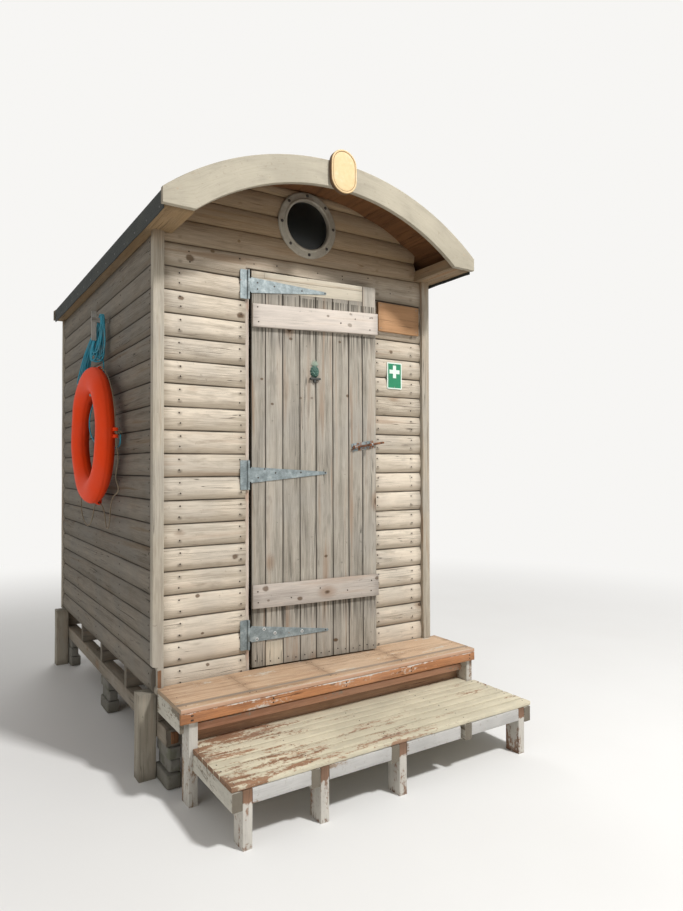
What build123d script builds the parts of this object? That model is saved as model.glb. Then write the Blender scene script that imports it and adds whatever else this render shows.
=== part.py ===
"""Timber beach hut with a barrel roof, a ledged door on tee hinges, a landing and a lower step.

Lengths are millimetres and angles degrees. Sizes are given from the hut's middle line (x),
from the face of the front wall (y, to the back) and from the ground (z).
"""

from build123d import *
import math
import os

os.makedirs("parts", exist_ok=True)

# Hut body
body_width = 1672
body_depth = 2250
wall = 70
board = 22
wall_foot = 400
lintel = 75
floor_thickness = 40
trim_width = 55
trim_side = 5
trim_proud = 18
rot_height = 130
rot_width = 26
rot_rise = 28

# Barrel roof and its end boards
eave_overhang = 63
roof_rise = 322
end_board_end = 70
end_board_crown = 130
end_board_seat = 146
barge_thickness = 25
barge_reach = 343
barge_chamfer = 2
felt = 5
deck = 18
felt_lip = 95
eave_inset = 14
back_overhang = 40
plate_lap = 21
plate_depth = 60

# Doorway, door and its hinges
doorway_left = -362
jamb = 20
jamb_recess = 6
hinge_side_gap = 11
door_gap = 6
door_head_gap = 13
door_board_widths = (97, 89, 97, 93, 102, 99, 88, 74)
door_foot = 440
door_height = 2022
door_thickness = 20
door_ajar = 5
groove_width = 5
groove_depth = 3
ledge_height = 120
ledge_thickness = 22
upper_ledge_drop = 222
lower_ledge_rise = 357
top_board_height = 112
top_board_thickness = 14
ledge_chamfer = 3
top_hinge_drop = 77
middle_hinge_rise = 975
bottom_hinge_rise = 169
strap_tilts = (1.0, 1.0, -3.5)
strap_length = 462
strap_root = 70
strap_tip = 22
hinge_thickness = 3.5
hinge_pin_place = 12
knuckle_radius = 6.5
knuckle_proud = 7.5
pin_clearance = 0.1
pin_radius = 3.2
hinge_plate_width = 44
hinge_plate_height = 150
hinge_slack = 0.5

# Sliding bolt and knocker
bolt_height = 1560
bolt_inset = 158
bolt_tilt = 9
bolt_base_length = 140
bolt_base_height = 44
bolt_base_thickness = 5
bolt_base_corner = 4
bar_radius = 6
bar_chamfer = 1.5
bar_length = 205
bar_clearance = 1
keeper_width = 14
keeper_wall = 3
keeper_places = (19, 121)
bolt_handle_place = 100
bolt_handle_radius = 5
bolt_handle_length = 34
knocker_offset = -6
knocker_drop = 271
knocker_size = 123
knocker_thickness = 16

# Porthole and badge
porthole_rise = 186
porthole_radius = 178
porthole_sight = 129
porthole_proud = 16
porthole_spigot = 5
glass_thickness = 8
glass_inset = 10
badge_drop = 50
badge_width = 150
badge_length = 216
badge_thickness = 24
badge_rounding = 5
badge_ring = 14
badge_line = 4

# Signs
plaque_left_gap = 25.5
plaque_right_gap = 29.5
plaque_height = 168
plaque_thickness = 20
plaque_corner = 3
plaque_drop = 174
safety_sign_width = 108
safety_sign_height = 155
safety_sign_thickness = 4
safety_sign_corner = 8
safety_sign_gap = 152
safety_sign_drop = 334

# Landing in front of the door
landing_inset = 20
landing_reach = 50
landing_top = 430
landing_depth = 340
landing_board = 20
landing_fascia = 46
landing_side = 88
trim_notch = 1
fascia = 20
post_width = 42
post_depth = 88
post_inset = 41
rail_width = 45
rail_depth = 70
riser_place = 240
riser_thickness = 22
riser_rail_height = 35
riser_rail_foot = 300

# Lower step
step_inset = 59
step_reach = 7
step_top = 250
step_depth = 735
step_board = 22
bearer_width = 44
bearer_depth = 75
step_fascia = 60
inner_bearers = (-411, -4, 434)
last_bearer_inset = 5
lost_leg_gap = 28

# Ground frame under the hut
corner_post = 85
corner_post_out = 56
corner_post_in = 20
ground_beam_width = 72
ground_beam_depth = 80
ground_beam_height = 270
ground_beam_reach = 130
joist_width = 45
joist_count = 5
block_length = 190
block_rows = 3

# Lifebuoy on the left wall, its peg, and the hook above it
buoy_radius = 314
buoy_half_width = 75
buoy_half_thickness = 52
buoy_gap = 38
buoy_place = 845
buoy_height = 1637
peg_radius = 9
peg_length = 104
lug_turns = (0, 90, 180, 270)
lug_gap = 18
lug_length = 18
lug_depth = 54
lug_thickness = 27
lug_bore = 6
lug_edge = 13
line_in = 8
line_back = 36
hook_arm_width = 24
hook_arm_depth = 24
hook_arm_reach = 96
hook_arm_foot = 649
hook_bar_width = 14
hook_bar_depth = 27
hook_bar_foot = 543
hook_bar_top = 709
hook_bar_reach = 95
hook_clearance = 0.3

# Ropes: each route runs from point to point, given as the distance ahead of the lifebuoy's
# middle, the height above it and the distance out from the wall
bend_share = 0.45
line_thickness = 6
tail_thickness = 8
line_route = (
    (381, -9, 54), (381, -43, 54), (393, -81, 48), (399, -137, 43), (393, -191, 50),
    (387, -241, 56), (405, -291, 40), (345, -319, 36), (270, -334, 36), (211, -371, 32),
    (173, -407, 29), (155, -459, 26), (133, -505, 26), (103, -527, 26), (73, -519, 27),
    (67, -487, 30), (75, -443, 36), (69, -403, 45), (37, -381, 54), (-37, -381, 54),
    (-68, -399, 57), (-81, -437, 62), (-103, -479, 64), (-145, -511, 64), (-215, -531, 64),
    (-290, -523, 64), (-360, -491, 64), (-407, -441, 64), (-423, -375, 63), (-425, -297, 61),
    (-413, -217, 59), (-398, -147, 57), (-387, -81, 55), (-381, -37, 54), (-381, 37, 54),
    (-372, 93, 54), (-347, 162, 54), (-310, 225, 54), (-261, 280, 54), (-203, 325, 54),
    (-137, 358, 54), (-83, 374, 54), (-37, 381, 54), (37, 381, 54), (83, 374, 54), (137, 358, 54),
    (203, 325, 54), (261, 280, 54), (310, 225, 54), (347, 162, 54), (372, 93, 54), (381, 43, 54),
    (381, 9, 54),
)
tail_route = (
    (385, -9, 30), (385, -33, 30), (371, -57, 28), (340, -69, 25), (290, -72, 23), (225, -78, 22),
    (155, -81, 24), (90, -77, 36), (30, -63, 56), (-17, -33, 75), (-48, 15, 89), (-57, 75, 93),
    (-56, 135, 86), (-43, 191, 70), (-33, 243, 47), (-25, 297, 25), (-15, 353, 21), (-2, 397, 27),
    (-2, 425, 27),
)
knot_outline = (42, 20, 18)
knot_place = (387, 0, 41)
knot_rounding = 7

# Sizes that follow from those above: the eaves stand over the doorway, and it over the door
door_top = door_foot + door_height
doorway_head = door_top + door_head_gap + jamb
wall_head = doorway_head + lintel
hinge_heights = (
    door_top - top_hinge_drop,
    door_foot + middle_hinge_rise,
    door_foot + bottom_hinge_rise,
)
upper_ledge = door_top - upper_ledge_drop
lower_ledge = door_foot + lower_ledge_rise
knocker_height = upper_ledge - knocker_drop
half_body = body_width / 2
inner_half = half_body - wall
trim_inner = half_body + trim_side - trim_width
door_width = sum(door_board_widths)
doorway_right = doorway_left + 2 * jamb + hinge_side_gap + door_gap + door_width
roof_half_width = half_body + eave_overhang
roof_top = wall_head + end_board_end + roof_rise
arch_radius = (roof_half_width**2 + roof_rise**2) / (2 * roof_rise)
arch_centre = roof_top - arch_radius
inner_half_chord = roof_half_width - end_board_seat
inner_rise = roof_top - end_board_crown - wall_head
arch_inner_radius = (inner_half_chord**2 + inner_rise**2) / (2 * inner_rise)
arch_inner_centre = wall_head + inner_rise - arch_inner_radius
roof_top_radius = arch_radius - felt
roof_under_radius = roof_top_radius - deck
eave = roof_half_width - eave_inset
plate_inner = inner_half - plate_lap
plate_width = eave - plate_inner
floor_top = wall_foot + floor_thickness
porthole_height = wall_head + porthole_rise
plaque_length = trim_inner - doorway_right - plaque_left_gap - plaque_right_gap
plaque_place = (doorway_right + plaque_left_gap + plaque_length / 2, doorway_head - plaque_drop)
safety_sign_place = (doorway_right + safety_sign_gap, plaque_place[1] - safety_sign_drop)
landing_left = -half_body + landing_inset
landing_right = half_body + landing_reach
step_left = landing_left + step_inset
step_right = landing_right + step_reach
last_bearer = step_right - last_bearer_inset - bearer_width
bearer_places = (step_left, *inner_bearers, last_bearer)
leg_places = (*[x + bearer_width for x in bearer_places[:3]], last_bearer - post_width)

# Origin on the ground under the middle of the whole object
buoy_reach = half_body + buoy_gap + 2 * buoy_half_thickness
middle_x = (buoy_reach - roof_half_width) / 2
face_y = (step_depth - body_depth - back_overhang) / 2
plan = Plane(origin=(middle_x, face_y, 0))
front = Plane(origin=(middle_x, face_y, 0), x_dir=(1, 0, 0), z_dir=(0, -1, 0))


def save(piece, name):
    """Labels a finished piece and writes its STEP file."""
    piece.label = name
    export_step(piece, f"parts/{name}.step")


def timbers(name, boxes):
    """Sawn timbers of one kind, each given by its limits along x, y and z."""
    with BuildPart() as piece:
        for x, y, z in boxes:
            with BuildSketch(plan.offset(z[0])):
                with Locations(((x[0] + x[1]) / 2, (y[0] + y[1]) / 2)):
                    Rectangle(x[1] - x[0], y[1] - y[0])
            extrude(amount=z[1] - z[0])
    save(piece.part, name)


def both_sides(inner, outer):
    """The limits of a piece on the left and of its twin on the right."""
    return (-outer, -inner), (inner, outer)


# Ground frame and floor
beam_outer = half_body + corner_post_out - corner_post
beam_sides = both_sides(beam_outer - ground_beam_width, beam_outer)
beam_foot = ground_beam_height - ground_beam_depth
timbers(
    "ground_beams",
    [(x, (-ground_beam_reach, body_depth), (beam_foot, ground_beam_height)) for x in beam_sides],
)
block_pitch = (body_depth + ground_beam_reach - block_length) / (block_rows - 1)
block_starts = [i * block_pitch - ground_beam_reach for i in range(block_rows)]
timbers(
    "stone_blocks",
    [(x, (y, y + block_length), (0, beam_foot)) for x in beam_sides for y in block_starts],
)
post_ends = (
    (corner_post_in, corner_post_in + corner_post),
    (body_depth - corner_post_in - corner_post, body_depth - corner_post_in),
)
timbers(
    "corner_posts",
    [
        (x, y, (0, wall_foot))
        for x in both_sides(beam_outer, beam_outer + corner_post)
        for y in post_ends
    ],
)
joist_pitch = (body_depth - joist_width) / (joist_count - 1)
joist_starts = [i * joist_pitch for i in range(joist_count)]
timbers(
    "floor_joists",
    [
        ((-beam_outer, beam_outer), (y, y + joist_width), (ground_beam_height, wall_foot))
        for y in joist_starts
    ],
)
timbers("floor", [((-inner_half, inner_half), (wall, body_depth - wall), (wall_foot, floor_top))])

# Side walls
for name, x in zip(("left_wall", "right_wall"), both_sides(inner_half, half_body)):
    timbers(name, [(x, (board, body_depth - board), (wall_foot, wall_head))])

# Front wall beside the doorway: its boards run on past the side walls to the corner trims
for name, outer, stop, edge in (
    ("front_wall_left", -trim_inner, -inner_half, doorway_left),
    ("front_wall_right", trim_inner, inner_half, doorway_right),
):
    with BuildPart() as front_wall:
        with BuildSketch(plan.offset(wall_foot)):
            with Locations(((outer + edge) / 2, board / 2)):
                Rectangle(abs(outer - edge), board)
            with Locations(((stop + edge) / 2, (board + wall) / 2)):
                Rectangle(abs(stop - edge), wall - board)
        extrude(amount=doorway_head - wall_foot)
    save(front_wall.part, name)


def gable_layer(half_width, foot):
    """Sketch of a gable up to the underside of the roof, between the eaves plates."""
    Rectangle(2 * half_width, wall_head - foot, align=(Align.CENTER, Align.MIN))
    with BuildSketch(mode=Mode.PRIVATE) as crown:
        with Locations((0, arch_centre - foot)):
            Circle(roof_under_radius)
        with Locations((0, wall_head - foot)):
            Rectangle(
                2 * plate_inner,
                arch_radius,
                align=(Align.CENTER, Align.MIN),
                mode=Mode.INTERSECT,
            )
    add(crown.sketch)


# Gable over the doorway, with the hole for the porthole
with BuildPart() as front_gable:
    for depth, half_width, thickness in ((0, trim_inner, board), (board, inner_half, wall - board)):
        with BuildSketch(front.offset(-depth)):
            with Locations((0, doorway_head)):
                gable_layer(half_width, doorway_head)
        extrude(amount=-thickness)
    with BuildSketch(front):
        with Locations((0, porthole_height)):
            Circle(porthole_sight + porthole_spigot)
    extrude(amount=-wall, mode=Mode.SUBTRACT)
save(front_gable.part, "front_gable")

# Back wall, boarded the same way
with BuildPart() as back_wall:
    for depth, half_width, thickness in (
        (body_depth - wall, inner_half, wall - board),
        (body_depth - board, trim_inner, board),
    ):
        with BuildSketch(front.offset(-depth)):
            with Locations((0, wall_foot)):
                gable_layer(half_width, wall_foot)
        extrude(amount=-thickness)
save(back_wall.part, "back_wall")

# Corner trims; the foot of the front left one has rotted away on its outer half
trim_outer = half_body + trim_side
trim_y = ((-trim_proud, board), (body_depth - board, body_depth + trim_proud))
with BuildPart() as corner_trims:
    with BuildSketch(plan.offset(wall_foot)):
        for x in both_sides(trim_inner, trim_outer):
            for y in trim_y:
                with Locations(((x[0] + x[1]) / 2, (y[0] + y[1]) / 2)):
                    Rectangle(trim_width, y[1] - y[0])
    extrude(amount=wall_head - wall_foot)
    with BuildSketch(front.offset(trim_proud)):
        with BuildLine():
            Polyline(
                (-trim_outer, wall_foot),
                (-trim_outer, wall_foot + rot_height),
                (-trim_outer + rot_width / 2, wall_foot + rot_height - rot_width / 3),
                (-trim_outer + rot_width, wall_foot + rot_height - rot_width / 5),
                (-trim_outer + rot_width, wall_foot + rot_rise),
                (-trim_outer + rot_width / 3, wall_foot + rot_rise - rot_width / 4),
                close=True,
            )
        make_face()
    extrude(amount=-trim_proud - board, mode=Mode.SUBTRACT)
save(corner_trims.part, "corner_trims")

# Eaves plates run from the front end boards to the back ones, bevelled under the roof boards
plate_front = barge_reach - barge_thickness
plate_back = body_depth + back_overhang - barge_thickness
with BuildPart() as eaves_plates:
    with BuildSketch(front.offset(plate_front)):
        with Locations((0, arch_centre)):
            Circle(roof_under_radius)
        with Locations(
            (-eave + plate_width / 2, wall_head + plate_depth / 2),
            (eave - plate_width / 2, wall_head + plate_depth / 2),
        ):
            Rectangle(plate_width, plate_depth, mode=Mode.INTERSECT)
    extrude(amount=-(plate_front + plate_back))
save(eaves_plates.part, "eaves_plates")

# Roof boards and felt, whose edges hang down past the eaves
with BuildPart() as roof_boards:
    with BuildSketch(front.offset(plate_front)):
        with Locations((0, arch_centre)):
            Circle(roof_top_radius)
            Circle(roof_under_radius, mode=Mode.SUBTRACT)
            Rectangle(2 * eave, arch_radius, align=(Align.CENTER, Align.MIN), mode=Mode.INTERSECT)
    extrude(amount=-(plate_front + plate_back))
save(roof_boards.part, "roof_boards")

felt_edge = eave + felt
felt_turn = arch_centre + math.sqrt((roof_top_radius + felt) ** 2 - felt_edge**2)
with BuildPart() as roof_felt:
    with BuildSketch(front.offset(plate_front)):
        with Locations((0, arch_centre)):
            Circle(roof_top_radius + felt)
            Circle(roof_top_radius, mode=Mode.SUBTRACT)
            Rectangle(2 * felt_edge, arch_radius, align=(Align.CENTER, Align.MIN), mode=Mode.INTERSECT)
        with Locations((-eave - felt / 2, felt_turn), (eave + felt / 2, felt_turn)):
            Rectangle(felt, felt_lip, align=(Align.CENTER, Align.MAX))
    extrude(amount=-(plate_front + plate_back))
save(roof_felt.part, "roof_felt")


def end_board_outline():
    """Sketch of the arched end board, with level seats at both ends over the eaves plates."""
    with Locations((0, arch_centre)):
        Circle(arch_radius)
    with Locations((0, arch_inner_centre)):
        Circle(arch_inner_radius, mode=Mode.SUBTRACT)
    with Locations((0, wall_head)):
        Rectangle(
            2 * roof_half_width, arch_radius, align=(Align.CENTER, Align.MIN), mode=Mode.INTERSECT
        )


# Front end boards: two halves that meet under the badge
for name, side in (("barge_left", Align.MAX), ("barge_right", Align.MIN)):
    with BuildPart() as barge:
        with BuildSketch(front.offset(plate_front)):
            end_board_outline()
            with Locations((0, wall_head)):
                Rectangle(roof_half_width, arch_radius, align=(side, Align.MIN), mode=Mode.INTERSECT)
        extrude(amount=barge_thickness)
        chamfer(barge.edges().group_by(Axis.Y)[0].filter_by(GeomType.CIRCLE), length=barge_chamfer)
    save(barge.part, name)

with BuildPart() as back_barge:
    with BuildSketch(front.offset(-plate_back)):
        end_board_outline()
    extrude(amount=-barge_thickness)
save(back_barge.part, "back_barge")

# Oval badge on the joint of the end boards
badge_height = roof_top - badge_drop
with BuildPart() as badge:
    with BuildSketch(front.offset(barge_reach)):
        with Locations((0, badge_height)):
            SlotOverall(badge_length, badge_width, rotation=90)
    extrude(amount=badge_thickness)
    fillet(badge.faces().sort_by(Axis.Y)[0].edges(), radius=badge_rounding)
    with BuildSketch(front.offset(barge_reach + badge_thickness)):
        with Locations((0, badge_height)):
            SlotOverall(badge_length - 2 * badge_ring, badge_width - 2 * badge_ring, rotation=90)
            SlotOverall(
                badge_length - 2 * badge_ring - 2 * badge_line,
                badge_width - 2 * badge_ring - 2 * badge_line,
                rotation=90,
                mode=Mode.SUBTRACT,
            )
    extrude(amount=-badge_line, mode=Mode.SUBTRACT)
save(badge.part, "badge")

# Porthole: a turned rim that stands on the boards, with a spigot through the wall and its glass
rim_bore = porthole_sight
porthole_centre = front.from_local_coords((0, porthole_height, 0))
with BuildPart() as porthole_rim:
    with BuildSketch(Plane(origin=porthole_centre, x_dir=(1, 0, 0), z_dir=(0, 0, 1))):
        with BuildLine():
            Polyline(
                (rim_bore, wall),
                (rim_bore, -porthole_proud / 2),
                (rim_bore + porthole_proud / 2, -porthole_proud),
                (porthole_radius - porthole_proud / 3, -porthole_proud),
                (porthole_radius, -porthole_proud / 3),
                (porthole_radius, 0),
                (rim_bore + porthole_spigot, 0),
                (rim_bore + porthole_spigot, wall),
                close=True,
            )
        make_face()
    revolve(axis=Axis(porthole_centre, (0, 1, 0)))
save(porthole_rim.part, "porthole_rim")

with BuildPart() as porthole_glass:
    with BuildSketch(front.offset(-glass_inset)):
        with Locations((0, porthole_height)):
            Circle(rim_bore)
    extrude(amount=-glass_thickness)
save(porthole_glass.part, "porthole_glass")

# Door frame inside the doorway
jamb_y = (jamb_recess, wall)
timbers(
    "door_jambs",
    [
        ((doorway_left, doorway_left + jamb), jamb_y, (wall_foot, doorway_head)),
        ((doorway_right - jamb, doorway_right), jamb_y, (wall_foot, doorway_head)),
    ],
)
timbers(
    "door_head",
    [((doorway_left + jamb, doorway_right - jamb), jamb_y, (doorway_head - jamb, doorway_head))],
)

# Door, drawn on a plane through its hinge pins that stands ajar
hinge_x = doorway_left + hinge_pin_place
hinge_point = front.from_local_coords((hinge_x, 0, knuckle_proud))
ajar = math.radians(door_ajar)
door_plane = Plane(
    origin=hinge_point,
    x_dir=(math.cos(ajar), -math.sin(ajar), 0),
    z_dir=(-math.sin(ajar), -math.cos(ajar), 0),
)
door_edge = jamb + hinge_side_gap - hinge_pin_place
door_face = door_plane.offset(-knuckle_proud)
door_seams = [door_edge + sum(door_board_widths[:i]) for i in range(1, len(door_board_widths))]
top_board_length = sum(door_board_widths[:-1])

with BuildPart() as boards:
    with BuildSketch(door_face):
        with Locations((door_edge, door_foot)):
            Rectangle(door_width, door_height, align=Align.MIN)
    extrude(amount=-door_thickness)
    with BuildSketch(door_face):
        with Locations([(seam, door_foot) for seam in door_seams]):
            Rectangle(groove_width, door_height, align=(Align.CENTER, Align.MIN))
    extrude(amount=-groove_depth, mode=Mode.SUBTRACT)
    with BuildSketch(door_face):
        with Locations((door_edge, door_top)):
            Rectangle(top_board_length, top_board_height, align=(Align.MIN, Align.MAX))
    extrude(amount=-top_board_thickness, mode=Mode.SUBTRACT)
save(boards.part, "door_boards")

with BuildPart() as top_board:
    with BuildSketch(door_face):
        with Locations((door_edge, door_top)):
            Rectangle(top_board_length, top_board_height, align=(Align.MIN, Align.MAX))
    extrude(amount=-top_board_thickness)
save(top_board.part, "door_top_board")

for name, height in (("door_upper_ledge", upper_ledge), ("door_lower_ledge", lower_ledge)):
    with BuildPart() as ledge:
        with BuildSketch(door_face):
            with Locations((door_edge, height)):
                Rectangle(door_width, ledge_height, align=(Align.MIN, Align.CENTER))
        extrude(amount=ledge_thickness)
        chamfer(ledge.faces().sort_by(Axis.Y)[0].edges(), length=ledge_chamfer)
    save(ledge.part, name)

# Tee hinges: a plate on the wall with two knuckles and the pin, a tapered strap with one on the door
knuckle = strap_root / 2
for name, height, tilt in zip(("top", "middle", "bottom"), hinge_heights, strap_tilts):
    with BuildPart() as plate:
        with BuildSketch(front):
            with Locations((hinge_x, height)):
                Rectangle(hinge_plate_width, hinge_plate_height, align=(Align.MAX, Align.CENTER))
        extrude(amount=hinge_thickness)
        with BuildSketch(plan.offset(height - hinge_plate_height / 2)):
            with Locations((hinge_x, -knuckle_proud)):
                Circle(knuckle_radius)
        extrude(amount=hinge_plate_height)
        with BuildSketch(plan.offset(height - knuckle)):
            with Locations((hinge_x, -knuckle_proud / 2)):
                Rectangle(4 * knuckle_radius, 4 * knuckle_radius)
        extrude(amount=strap_root, mode=Mode.SUBTRACT)
        with BuildSketch(plan.offset(height - knuckle)):
            with Locations((hinge_x, -knuckle_proud)):
                Circle(pin_radius)
        extrude(amount=strap_root)
    save(plate.part, f"hinge_plate_{name}")

    with BuildPart() as strap:
        with BuildSketch(door_face):
            with BuildLine():
                angle = math.radians(tilt)
                tip_y = height + strap_length * math.sin(angle)
                Polyline(
                    (0, height - knuckle + hinge_slack),
                    (strap_length * math.cos(angle), tip_y - strap_tip / 2),
                    (strap_length * math.cos(angle) + strap_tip / 2, tip_y),
                    (strap_length * math.cos(angle), tip_y + strap_tip / 2),
                    (0, height + knuckle - hinge_slack),
                    close=True,
                )
            make_face()
        extrude(amount=hinge_thickness)
        with BuildSketch(Plane.XY.offset(height - knuckle + hinge_slack)):
            with Locations((hinge_point.X, hinge_point.Y)):
                Circle(knuckle_radius)
        extrude(amount=strap_root - 2 * hinge_slack)
        with BuildSketch(Plane.XY.offset(height - knuckle)):
            with Locations((hinge_point.X, hinge_point.Y)):
                Circle(pin_radius + pin_clearance)
        extrude(amount=strap_root, mode=Mode.SUBTRACT)
    save(strap.part, f"hinge_strap_{name}")

# Sliding bolt, fixed to the door at a tilt: plate, two keepers, and the bar with its handle
tilt = math.radians(bolt_tilt)
bolt_start = door_edge + door_width - bolt_inset
bolt_origin = door_face.from_local_coords((bolt_start, bolt_height, 0))
bolt_dir = door_plane.x_dir * math.cos(tilt) + Vector(0, 0, 1) * math.sin(tilt)
bolt_face = Plane(origin=bolt_origin, x_dir=bolt_dir, z_dir=door_plane.z_dir)
bar_lift = bolt_base_thickness + bar_clearance + bar_radius
keeper_half = bar_radius + bar_clearance + keeper_wall
with BuildPart() as bolt_base:
    with BuildSketch(bolt_face):
        with Locations((bolt_base_length / 2, 0)):
            RectangleRounded(bolt_base_length, bolt_base_height, radius=bolt_base_corner)
    extrude(amount=bolt_base_thickness)
    with BuildSketch(bolt_face):
        for place in keeper_places:
            with Locations((place, 0)):
                Rectangle(keeper_width, 2 * keeper_half)
    extrude(amount=bar_lift + keeper_half)
    with BuildSketch(Plane(origin=bolt_origin, x_dir=door_plane.z_dir, z_dir=bolt_dir)):
        with Locations((bar_lift, 0)):
            Circle(bar_radius + bar_clearance)
    extrude(amount=bolt_base_length, mode=Mode.SUBTRACT)
save(bolt_base.part, "bolt_base")

with BuildPart() as bolt_bar:
    with BuildSketch(Plane(origin=bolt_origin, x_dir=door_plane.z_dir, z_dir=bolt_dir)):
        with Locations((bar_lift, 0)):
            Circle(bar_radius)
    extrude(amount=bar_length)
    chamfer(bolt_bar.faces().sort_by(Axis.X)[-1].edges(), length=bar_chamfer)
    with BuildSketch(bolt_face.offset(bar_lift)):
        with Locations((bolt_handle_place, 0)):
            Circle(bolt_handle_radius)
    extrude(amount=bolt_handle_length)
save(bolt_bar.part, "bolt_bar")

# Cast knocker: an oval body on a small shelf, under a crown of leaves
knocker_place = door_edge + door_width / 2 + knocker_offset
with BuildPart() as knocker:
    with BuildSketch(door_face):
        with Locations((knocker_place, knocker_height)):
            Ellipse(0.32 * knocker_size, 0.42 * knocker_size)
        with Locations((knocker_place, knocker_height + 0.36 * knocker_size)):
            RegularPolygon(0.4 * knocker_size, 3, rotation=90)
        with Locations((knocker_place, knocker_height - 0.46 * knocker_size)):
            Rectangle(0.62 * knocker_size, 0.12 * knocker_size)
    extrude(amount=knocker_thickness)
save(knocker.part, "knocker")

# Signs on the wall to the right of the door
with BuildPart() as name_plaque:
    with BuildSketch(front):
        with Locations(plaque_place):
            RectangleRounded(plaque_length, plaque_height, radius=plaque_corner)
    extrude(amount=plaque_thickness)
save(name_plaque.part, "name_plaque")

with BuildPart() as safety_sign:
    with BuildSketch(front):
        with Locations(safety_sign_place):
            RectangleRounded(safety_sign_width, safety_sign_height, radius=safety_sign_corner)
    extrude(amount=safety_sign_thickness)
save(safety_sign.part, "safety_sign")

# Landing, whose boards are notched around the corner trims
deck_foot = landing_top - landing_board
post_y = (-landing_depth + fascia, -landing_depth + fascia + post_depth)
left_post = (landing_left + post_inset, landing_left + post_inset + post_width)
right_post = (landing_right - post_width, landing_right)
between_posts = (left_post[1], right_post[0])
notch_outer = trim_outer + trim_notch
notch_inner = trim_inner - trim_notch
with BuildPart() as landing_boards:
    with BuildSketch(plan.offset(deck_foot)):
        with Locations((landing_left, 0)):
            Rectangle(landing_right - landing_left, landing_depth, align=(Align.MIN, Align.MAX))
        with Locations((-notch_inner, 0), (notch_outer, 0)):
            Rectangle(
                notch_outer - notch_inner,
                trim_proud + trim_notch,
                align=Align.MAX,
                mode=Mode.SUBTRACT,
            )
    extrude(amount=landing_board)
save(landing_boards.part, "landing_boards")
timbers(
    "landing_fascia",
    [
        (
            (landing_left, landing_right),
            (-landing_depth, -landing_depth + fascia),
            (deck_foot - landing_fascia, deck_foot),
        )
    ],
)
timbers(
    "landing_side",
    [
        (
            (landing_left, landing_left + fascia),
            (-landing_depth + fascia, -trim_proud),
            (deck_foot - landing_side, deck_foot),
        )
    ],
)
timbers("landing_posts", [(x, post_y, (0, deck_foot)) for x in (left_post, right_post)])
timbers(
    "landing_rail",
    [((-notch_inner, notch_inner), (-rail_width, 0), (deck_foot - rail_depth, deck_foot))],
)
step_deck_foot = step_top - step_board
riser_y = (-riser_place, -riser_place + riser_thickness)
timbers("riser_board", [(between_posts, riser_y, (step_deck_foot, deck_foot))])
timbers(
    "riser_rail",
    [
        (
            between_posts,
            (-riser_place - riser_rail_height, -riser_place),
            (riser_rail_foot, riser_rail_foot + riser_rail_height),
        )
    ],
)

# Lower step: its deck is notched around the landing posts
bearer_foot = step_deck_foot - bearer_depth
with BuildPart() as step_deck:
    with BuildSketch(plan.offset(step_deck_foot)):
        with Locations((step_left, -step_depth)):
            Rectangle(step_right - step_left, step_depth + post_y[0], align=Align.MIN)
        with Locations((between_posts[0], -step_depth)):
            Rectangle(between_posts[1] - between_posts[0], step_depth - riser_place, align=Align.MIN)
    extrude(amount=step_board)
save(step_deck.part, "step_deck")


def bearer_back(x):
    """Where a step bearer ends: at the landing's posts or at the rail behind the riser."""
    in_front = x < between_posts[0] or x + bearer_width > between_posts[1]
    return post_y[0] if in_front else -riser_place


timbers(
    "step_bearers",
    [
        ((x, x + bearer_width), (-step_depth, bearer_back(x)), (bearer_foot, step_deck_foot))
        for x in bearer_places
    ],
)
timbers(
    "step_legs",
    [
        ((x, x + post_width), (-step_depth, -step_depth + post_depth), (0, step_deck_foot))
        for x in leg_places
    ],
)
timbers(
    "step_rail",
    [(between_posts, (-riser_place, -riser_place + rail_width), (bearer_foot, step_deck_foot))],
)
bays = (
    (leg_places[0] + post_width, bearer_places[1]),
    (leg_places[1] + post_width, bearer_places[2]),
    (leg_places[2] + post_width, bearer_places[3] - lost_leg_gap),
    (bearer_places[3] + bearer_width, leg_places[3]),
)
timbers(
    "step_fascias",
    [
        (bay, (-step_depth, -step_depth + fascia), (step_deck_foot - step_fascia, step_deck_foot))
        for bay in bays
    ],
)

# Lifebuoy with four pairs of lugs for its grab line; it hangs on a peg in the wall
wall_side = Plane(
    origin=(middle_x - half_body, face_y + buoy_place, buoy_height),
    x_dir=(0, -1, 0),
    z_dir=(-1, 0, 0),
)
buoy_middle = buoy_gap + buoy_half_thickness
buoy_centre = wall_side.from_local_coords((0, 0, buoy_middle))
line_radius = buoy_radius + buoy_half_width - line_in
with BuildPart() as lifebuoy:
    with BuildSketch(Plane(origin=buoy_centre, x_dir=(0, 1, 0), z_dir=(0, 0, 1))):
        with Locations((buoy_radius, 0)):
            Ellipse(buoy_half_width, buoy_half_thickness)
    revolve(axis=Axis(buoy_centre, (1, 0, 0)))
    for turn in lug_turns:
        angle = math.radians(turn)
        outwards = (0, math.cos(angle), math.sin(angle))
        along = (0, -math.sin(angle), math.cos(angle))
        lug_plane = Plane(origin=buoy_centre, x_dir=outwards, z_dir=along)
        for start in (lug_gap / 2, -lug_gap / 2 - lug_length):
            with BuildSketch(lug_plane.offset(start)):
                with Locations((line_radius + lug_edge, -line_back)):
                    Rectangle(lug_depth, lug_thickness, align=(Align.MAX, Align.CENTER))
            extrude(amount=lug_length)
            with BuildSketch(lug_plane.offset(start)):
                with Locations((line_radius, -line_back)):
                    Circle(lug_bore)
            extrude(amount=lug_length, mode=Mode.SUBTRACT)
save(lifebuoy.part, "lifebuoy")

with BuildPart() as ring_peg:
    with BuildSketch(wall_side):
        with Locations((0, buoy_radius - buoy_half_width - peg_radius)):
            Circle(peg_radius)
    extrude(amount=peg_length)
save(ring_peg.part, "ring_peg")

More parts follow.
